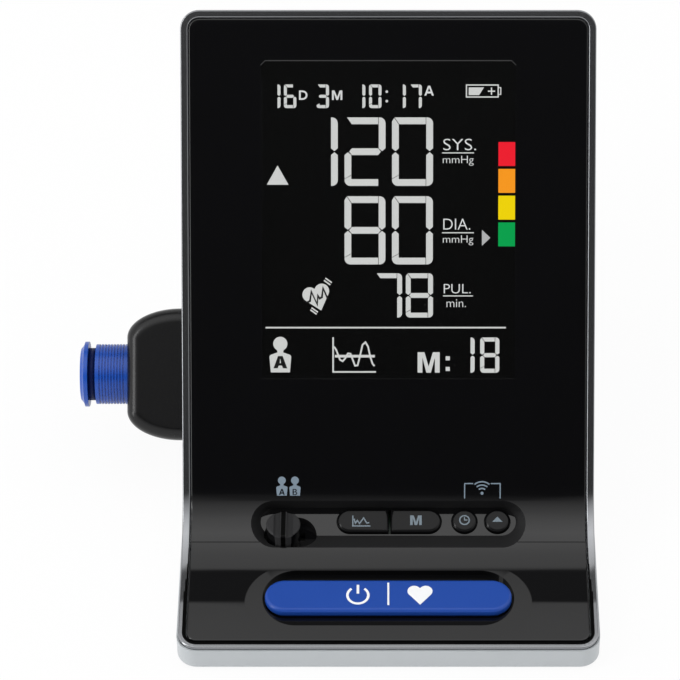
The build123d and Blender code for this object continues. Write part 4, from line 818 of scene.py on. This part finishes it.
scale_plane = sloped(window_front, display_slope, print_lift)
bar_width, bar_length, bar_pitch, bar_column, top_bar = 4.65, 6.35, 7.11, 31.5, 17.63
scale_inks = (("red", "#EE1C2E"), ("orange", "#F8981D"), ("yellow", "#F0D400"), ("green", "#00A04C"))
# the printed bars glow in their colours instead of reflecting light: painted light
for index, (name, colour) in enumerate(scale_inks):
    printed("scale_bar_" + name, shining("scale_glow_ink_" + name, colour), scale_plane, "console",
            [box_outline((bar_column, top_bar - index * bar_pitch), bar_width, bar_length)])

# the bead has three sides and cuts off both top corners
edge_width, edge_rise = 0.26, 0.07
lens_half, lens_top, lens_foot, lens_corner = 33.75, 42.3, -42.0, 1.2
right_half = [(lens_half - lens_corner, lens_top), (lens_half, lens_top - lens_corner), (lens_half, lens_foot)]
edge_path = [(-x, y) for x, y in right_half[::-1]] + right_half
edge_outline = stroke(edge_path, edge_width)
edge_count = len(edge_path)
bead = bmesh.new()
outside = [bead.verts.new((x, y, 0)) for x, y in edge_outline[:edge_count]]
inside = [bead.verts.new((x, y, edge_rise)) for x, y in edge_outline[:edge_count - 1:-1]]
below = [bead.verts.new((v.co.x, v.co.y, 0)) for v in inside]
for i in range(edge_count - 1):
    bead.faces.new((outside[i], outside[i + 1], inside[i + 1], inside[i]))
    bead.faces.new((inside[i], inside[i + 1], below[i + 1], below[i]))
    bead.faces.new((below[i], below[i + 1], outside[i + 1], outside[i]))
bead.faces.new((outside[0], inside[0], below[0]))
bead.faces.new((outside[-1], below[-1], inside[-1]))
bmesh.ops.recalc_face_normals(bead, faces=bead.faces)
bead.transform(scale_plane)
lens_edge = placed("lens_edge", bead, gloss_black)
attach(lens_edge, "console")

# ---------------------------------------------------------------- small keys
# Four keys of polished dark ABS in the trough: a divided pill and two round ones, each with a tampo
# print on its top. Their edges are rounded, so they catch a thin line of light.

key_abs = moulding("polished_key_abs", "#08080A", "#0B0B0C", 0.16, 1.0, 0.03, {"Specular IOR Level": 0.2})
for key in ("average", "memory", "clock", "up"):
    smoothed(key_abs, key + "_key", key + "_button")
key_ink = moulding("key_tampo_ink", "#6A7882", "#73818B", 0.5, 0.3, 0.1)
above_keys = 20 * MM
sign_drop = 0.7


def key_plane(name, slope, drop=sign_drop):
    """Plane on a key's top, drop millimetres nearer than its middle, found by looking down on it."""
    low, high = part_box(name)
    up = tilted(slope)
    hit = surface(name).ray_cast((low + high) / 2 + up * above_keys, -up)[0]
    return sloped(hit, slope) @ Matrix.Translation((0, -drop, 0))


def key_sign(name, key, outlines):
    """Print on top of a small key."""
    printed(name, key_ink, key_plane(key + "_button", trough_slope), key + "_key", outlines,
            under=key + "_button")


small_wave = [(-2.0, 0.7), (-1.6, -0.6), (-1.1, 0.2), (-0.5, -0.7), (0.1, 0.2), (0.6, 0.9), (1.1, 0.0),
              (1.5, -0.6), (2.1, -0.4)]
key_sign("average_sign", "average", [stroke([(-2.3, 1.6), (-2.3, -1.4), (2.4, -1.4)], 0.35)])
key_sign("average_wave", "average", [stroke(small_wave, 0.36)])
key_sign("memory_sign", "memory", [letter_m((-0.4, 0.25), 3.1, 2.8, 0.72)])
clock_ring = (arc((0, 0.3), 1.45, 0, 350, 35), arc((0, 0.3), 1.08, 0, 350, 35))
clock_hands = stroke([(0, 1.1), (0, 0.3), (0.75, 0.3)], 0.28)
key_sign("clock_sign", "clock", [clock_ring, clock_hands])
key_sign("up_sign", "up", [[(-1.4, -0.2), (1.4, -0.2), (0, 1.3)]])

# ---------------------------------------------------------------- user switch
# A round knob of dark ABS that slides from user to user. Its satin top has a finger ridge between two grooves,
# their shade painted as a near-black stripe; its sides, painted darker as shade, are polished like the keys.

knob_abs = moulding("dark_satin_abs", "#313132", "#373738", 0.35, 0.3, 0.1, {"Specular IOR Level": 0.1})
knob_low, knob_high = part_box("user_switch_knob")
knob_middle = (knob_low.x + knob_high.x) / 2
ridge_half = 0.62 * MM
ridge_blur = 0.2
tree = knob_abs.node_tree
shader = tree.nodes["Principled BSDF"]
tone = shader.inputs["Base Color"].links[0].from_socket
place = add_node(tree, "ShaderNodeTexCoord").outputs["Object"]
across = add_node(tree, "ShaderNodeSeparateXYZ", inputs={"Vector": place}).outputs["X"]
aside = add_node(tree, "ShaderNodeMath", {"operation": "SUBTRACT"}, {0: across, 1: knob_middle})
apart = add_node(tree, "ShaderNodeMath", {"operation": "ABSOLUTE"}, {0: aside.outputs[0]})
# painted shade: a near-black stripe over the ridge and its grooves, soft at its edges
ridge_shade = add_node(tree, "ShaderNodeMapRange", {"interpolation_type": "SMOOTHSTEP"}, {
    "Value": apart.outputs[0], "From Min": ridge_half * (1 - ridge_blur),
    "From Max": ridge_half * (1 + ridge_blur)})
tree.links.new(two_tone(tree, ridge_shade.outputs["Result"], linear("#030303"), tone), shader.inputs["Base Color"])
knob = smoothed(knob_abs, "user_switch", "user_switch_knob")
top_facing = 0.3
# the sides take the darker key finish: painted shade, while the top keeps the lighter tone as if lit
recoat(knob, key_abs, lambda face: face.normal.dot(trough_up) < top_facing)

# ---------------------------------------------------------------- start bar
# The long start key, through-coloured blue ABS with a fine spark finish, printed in white with the power
# sign, a divider and a heart for the measurement.

blue_abs = moulding("blue_bar_abs", "#19449C", "#1F4BA6", 0.3, 0.35, 0.15, {"Specular IOR Level": 0.3})
smoothed(blue_abs, "start_button", "start_stop_button")
white_ink = moulding("white_tampo_ink", "#F2F4F6", "#FAFBFC", 0.45, 0.3, 0.1)
bar_slope = math.radians(3)
bar_plane = key_plane("start_stop_button", bar_slope, 0.0)
power_x, power_radius, power_line = -8.0, 2.75, 0.68
power_ring = stroke(arc((power_x, -0.25), power_radius, 128, 412, 28), power_line)
power_stem = stroke([(power_x, 0.3), (power_x, 3.2)], power_line)
divider = box_outline((0, 0.2), 0.5, 7.4)
printed("start_signs", white_ink, bar_plane, "start_button",
        [power_ring, power_stem, divider, heart((8.35, 1.1), 6.6)], under="start_stop_button")

# ---------------------------------------------------------------- pod and air coupling
# A black satin pod carries a push-to-release coupling of blue acetal: a ribbed head, a neck whose shade
# between head and flange is painted as a dark navy ring, and a domed release flange with the bore that
# takes the hose's plug. A steel spring returns it.

pod_black = moulding("satin_black_abs", "#0B0B0C", "#0F0F10", 0.26, 0.3, 0.08, {"Specular IOR Level": 0.35})
smoothed(pod_black, "console", "socket_housing")
blue_acetal = moulding("blue_acetal", "#0A46A6", "#104CAE", 0.32, 0.4, 0.15)
smoothed(blue_acetal, "console", "coupling_body")
smoothed(blue_acetal, "collar", "release_collar")

# pushing the collar presses the spring together towards its seat in the head; here the spring only gets a mesh
# of its own
smoothed(spring_steel, "console", "collar_spring")
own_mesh(bpy.data.objects["collar_spring_skin"])

# dull navy ring round the neck: painted shade between the release flange and the head
painted_neck_shade = moulding("painted_neck_shade", "#08184A", "#0A1C50", 0.5, 0.4, 0.15, {"Specular IOR Level": 0.15})
collar_low, collar_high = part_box("release_collar")
flange_depth = 2.1 * MM
neck_length = 1.95 * MM
inner_radius = 6.9 * MM
outer_radius = 7.13 * MM
shade_sides = 96
neck_start = Vector((collar_low.x + flange_depth, (collar_low.y + collar_high.y) / 2,
                     (collar_low.z + collar_high.z) / 2))


def circle(across, radius):
    """Points round the collar's axis, across metres from where the neck starts."""
    turns = [2 * math.pi * i / shade_sides for i in range(shade_sides)]
    return [neck_start + Vector((across, radius * math.cos(turn), radius * math.sin(turn))) for turn in turns]


neck_shade = closed_band([circle(0.0, inner_radius), circle(0.0, outer_radius),
                      circle(neck_length, outer_radius), circle(neck_length, inner_radius)])
for face in neck_shade.faces:
    face.smooth = True
neck_shade_ring = placed("collar_neck_painted_shade", neck_shade, painted_neck_shade)
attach(neck_shade_ring, "collar")

# ---------------------------------------------------------------- floor, light and camera
# A white floor in a studio that is brightest overhead and at both sides, with one strip light at the left.
# Seen directly the floor is even white paper, over which its own shading leaves a trace of soft shadow.

floor_reach = 8.0
paper_share = 0.93
floor_mesh = bpy.data.meshes.new("floor")
corners = ((-1, -1), (1, -1), (1, 1), (-1, 1))
floor_mesh.from_pydata([(x * floor_reach, y * floor_reach, 0) for x, y in corners], [], [(0, 1, 2, 3)])
floor = bpy.data.objects.new("floor", floor_mesh)
bpy.context.scene.collection.objects.link(floor)
floor_paint, tree, shader = finish("matt_white_floor", {
    "Base Color": linear("#F2F2F2"), "Roughness": 0.9, "Specular IOR Level": 0.1})[:3]
seen = add_node(tree, "ShaderNodeLightPath")
direct = add_node(tree, "ShaderNodeMath", {"operation": "MAXIMUM"}, {
    0: seen.outputs["Is Camera Ray"], 1: seen.outputs["Is Glossy Ray"]})
through = add_node(tree, "ShaderNodeMath", {"operation": "MAXIMUM"}, {
    0: direct.outputs[0], 1: seen.outputs["Is Transmission Ray"]})
whitened = add_node(tree, "ShaderNodeMath", {"operation": "MULTIPLY"}, {0: through.outputs[0], 1: paper_share})
paper = add_node(tree, "ShaderNodeEmission", inputs={"Color": linear("#FFFFFF"), "Strength": 1.0})
mixed = add_node(tree, "ShaderNodeMixShader", inputs={
    0: whitened.outputs[0], 1: shader.outputs[0], 2: paper.outputs[0]})
tree.links.new(mixed.outputs[0], tree.nodes["Material Output"].inputs["Surface"])
floor_mesh.materials.append(floor_paint)

behind_rim_front, above_floor = 70.6 * MM, 51.3 * MM
look_at = Vector((rim_middle, rim_low.y + behind_rim_front, above_floor))


def softbox(name, centre, aim, width, length, radiance):
    """Rectangular area light at centre, turned to aim, with the brightness of its face given."""
    lamp = bpy.data.lights.new(name, "AREA")
    lamp.shape = "RECTANGLE"
    lamp.size = width
    lamp.size_y = length
    lamp.energy = radiance * math.pi * width * length
    stand = bpy.data.objects.new(name, lamp)
    turn = (aim - centre).to_track_quat("-Z", "Y").to_matrix().to_4x4()
    stand.matrix_world = Matrix.Translation(centre) @ turn
    bpy.context.scene.collection.objects.link(stand)


strip_place = look_at + Vector((-0.85, -0.37, 0.37))
softbox("left_strip", strip_place, look_at, width=0.22, length=1.3, radiance=5.0)

# brightness of the studio by the angle over the object, from behind (0) over the top to the front (180)
studio_light = ((0, 0.8), (38, 0.8), (48, 0.15), (57, 0.12), (59, 0.16), (61, 0.95), (62, 1.1), (68, 1.2),
                (76, 1.5), (90, 1.7), (99, 1.55), (108, 1.35), (116, 1.05), (125, 0.75), (133, 0.36),
                (140, 0.06), (152, 0.03), (164, 0.8), (180, 1.0))
brightest = max(level for degrees, level in studio_light)
side_light = 1.0
side_start, side_full = 0.5, 0.8
world = bpy.data.worlds.new("studio")
world.use_nodes = True
bpy.context.scene.world = world
tree = world.node_tree
sky = add_node(tree, "ShaderNodeTexCoord").outputs["Generated"]
axes = add_node(tree, "ShaderNodeSeparateXYZ", inputs={"Vector": sky}).outputs
angle = add_node(tree, "ShaderNodeMath", {"operation": "ARCTAN2"}, {0: axes["Z"], 1: axes["Y"]})
turned = add_node(tree, "ShaderNodeMath", {"operation": "DIVIDE"}, {0: angle.outputs[0], 1: math.pi})
ramp = add_node(tree, "ShaderNodeValToRGB", inputs={"Fac": turned.outputs[0]})
stops = ramp.color_ramp.elements
while len(stops) < len(studio_light):
    stops.new(0.5)
for stop, (degrees, level) in zip(stops, studio_light):
    stop.position = degrees / 180
    stop.color = [level / brightest] * 3 + [1]
aside = add_node(tree, "ShaderNodeMath", {"operation": "ABSOLUTE"}, {0: axes["X"]})
side = add_node(tree, "ShaderNodeMapRange", {"interpolation_type": "SMOOTHSTEP"}, {
    "Value": aside.outputs[0], "From Min": side_start, "From Max": side_full})
glow = two_tone(tree, side.outputs["Result"], ramp.outputs["Color"], [side_light / brightest] * 3 + [1])
tree.links.new(glow, tree.nodes["Background"].inputs["Color"])
tree.nodes["Background"].inputs["Strength"].default_value = brightest

# the view looks down at 45 degrees; its width, focal length and shift aside share one unit
view_width = 680
focal_length = 3459
shift_aside = -48.3
view_distance = 0.92
camera = bpy.data.cameras.new("camera")
camera.sensor_width = 36.0
camera.lens = focal_length / view_width * camera.sensor_width
camera.shift_x = shift_aside / view_width
camera.clip_start = 0.01
viewer = bpy.data.objects.new("camera", camera)
viewer.location = look_at + Vector((0, -1, 1)).normalized() * view_distance
viewer.rotation_euler = (math.radians(45), 0, 0)
bpy.context.scene.collection.objects.link(viewer)
bpy.context.scene.camera = viewer
bpy.context.scene.view_settings.view_transform = "Standard"
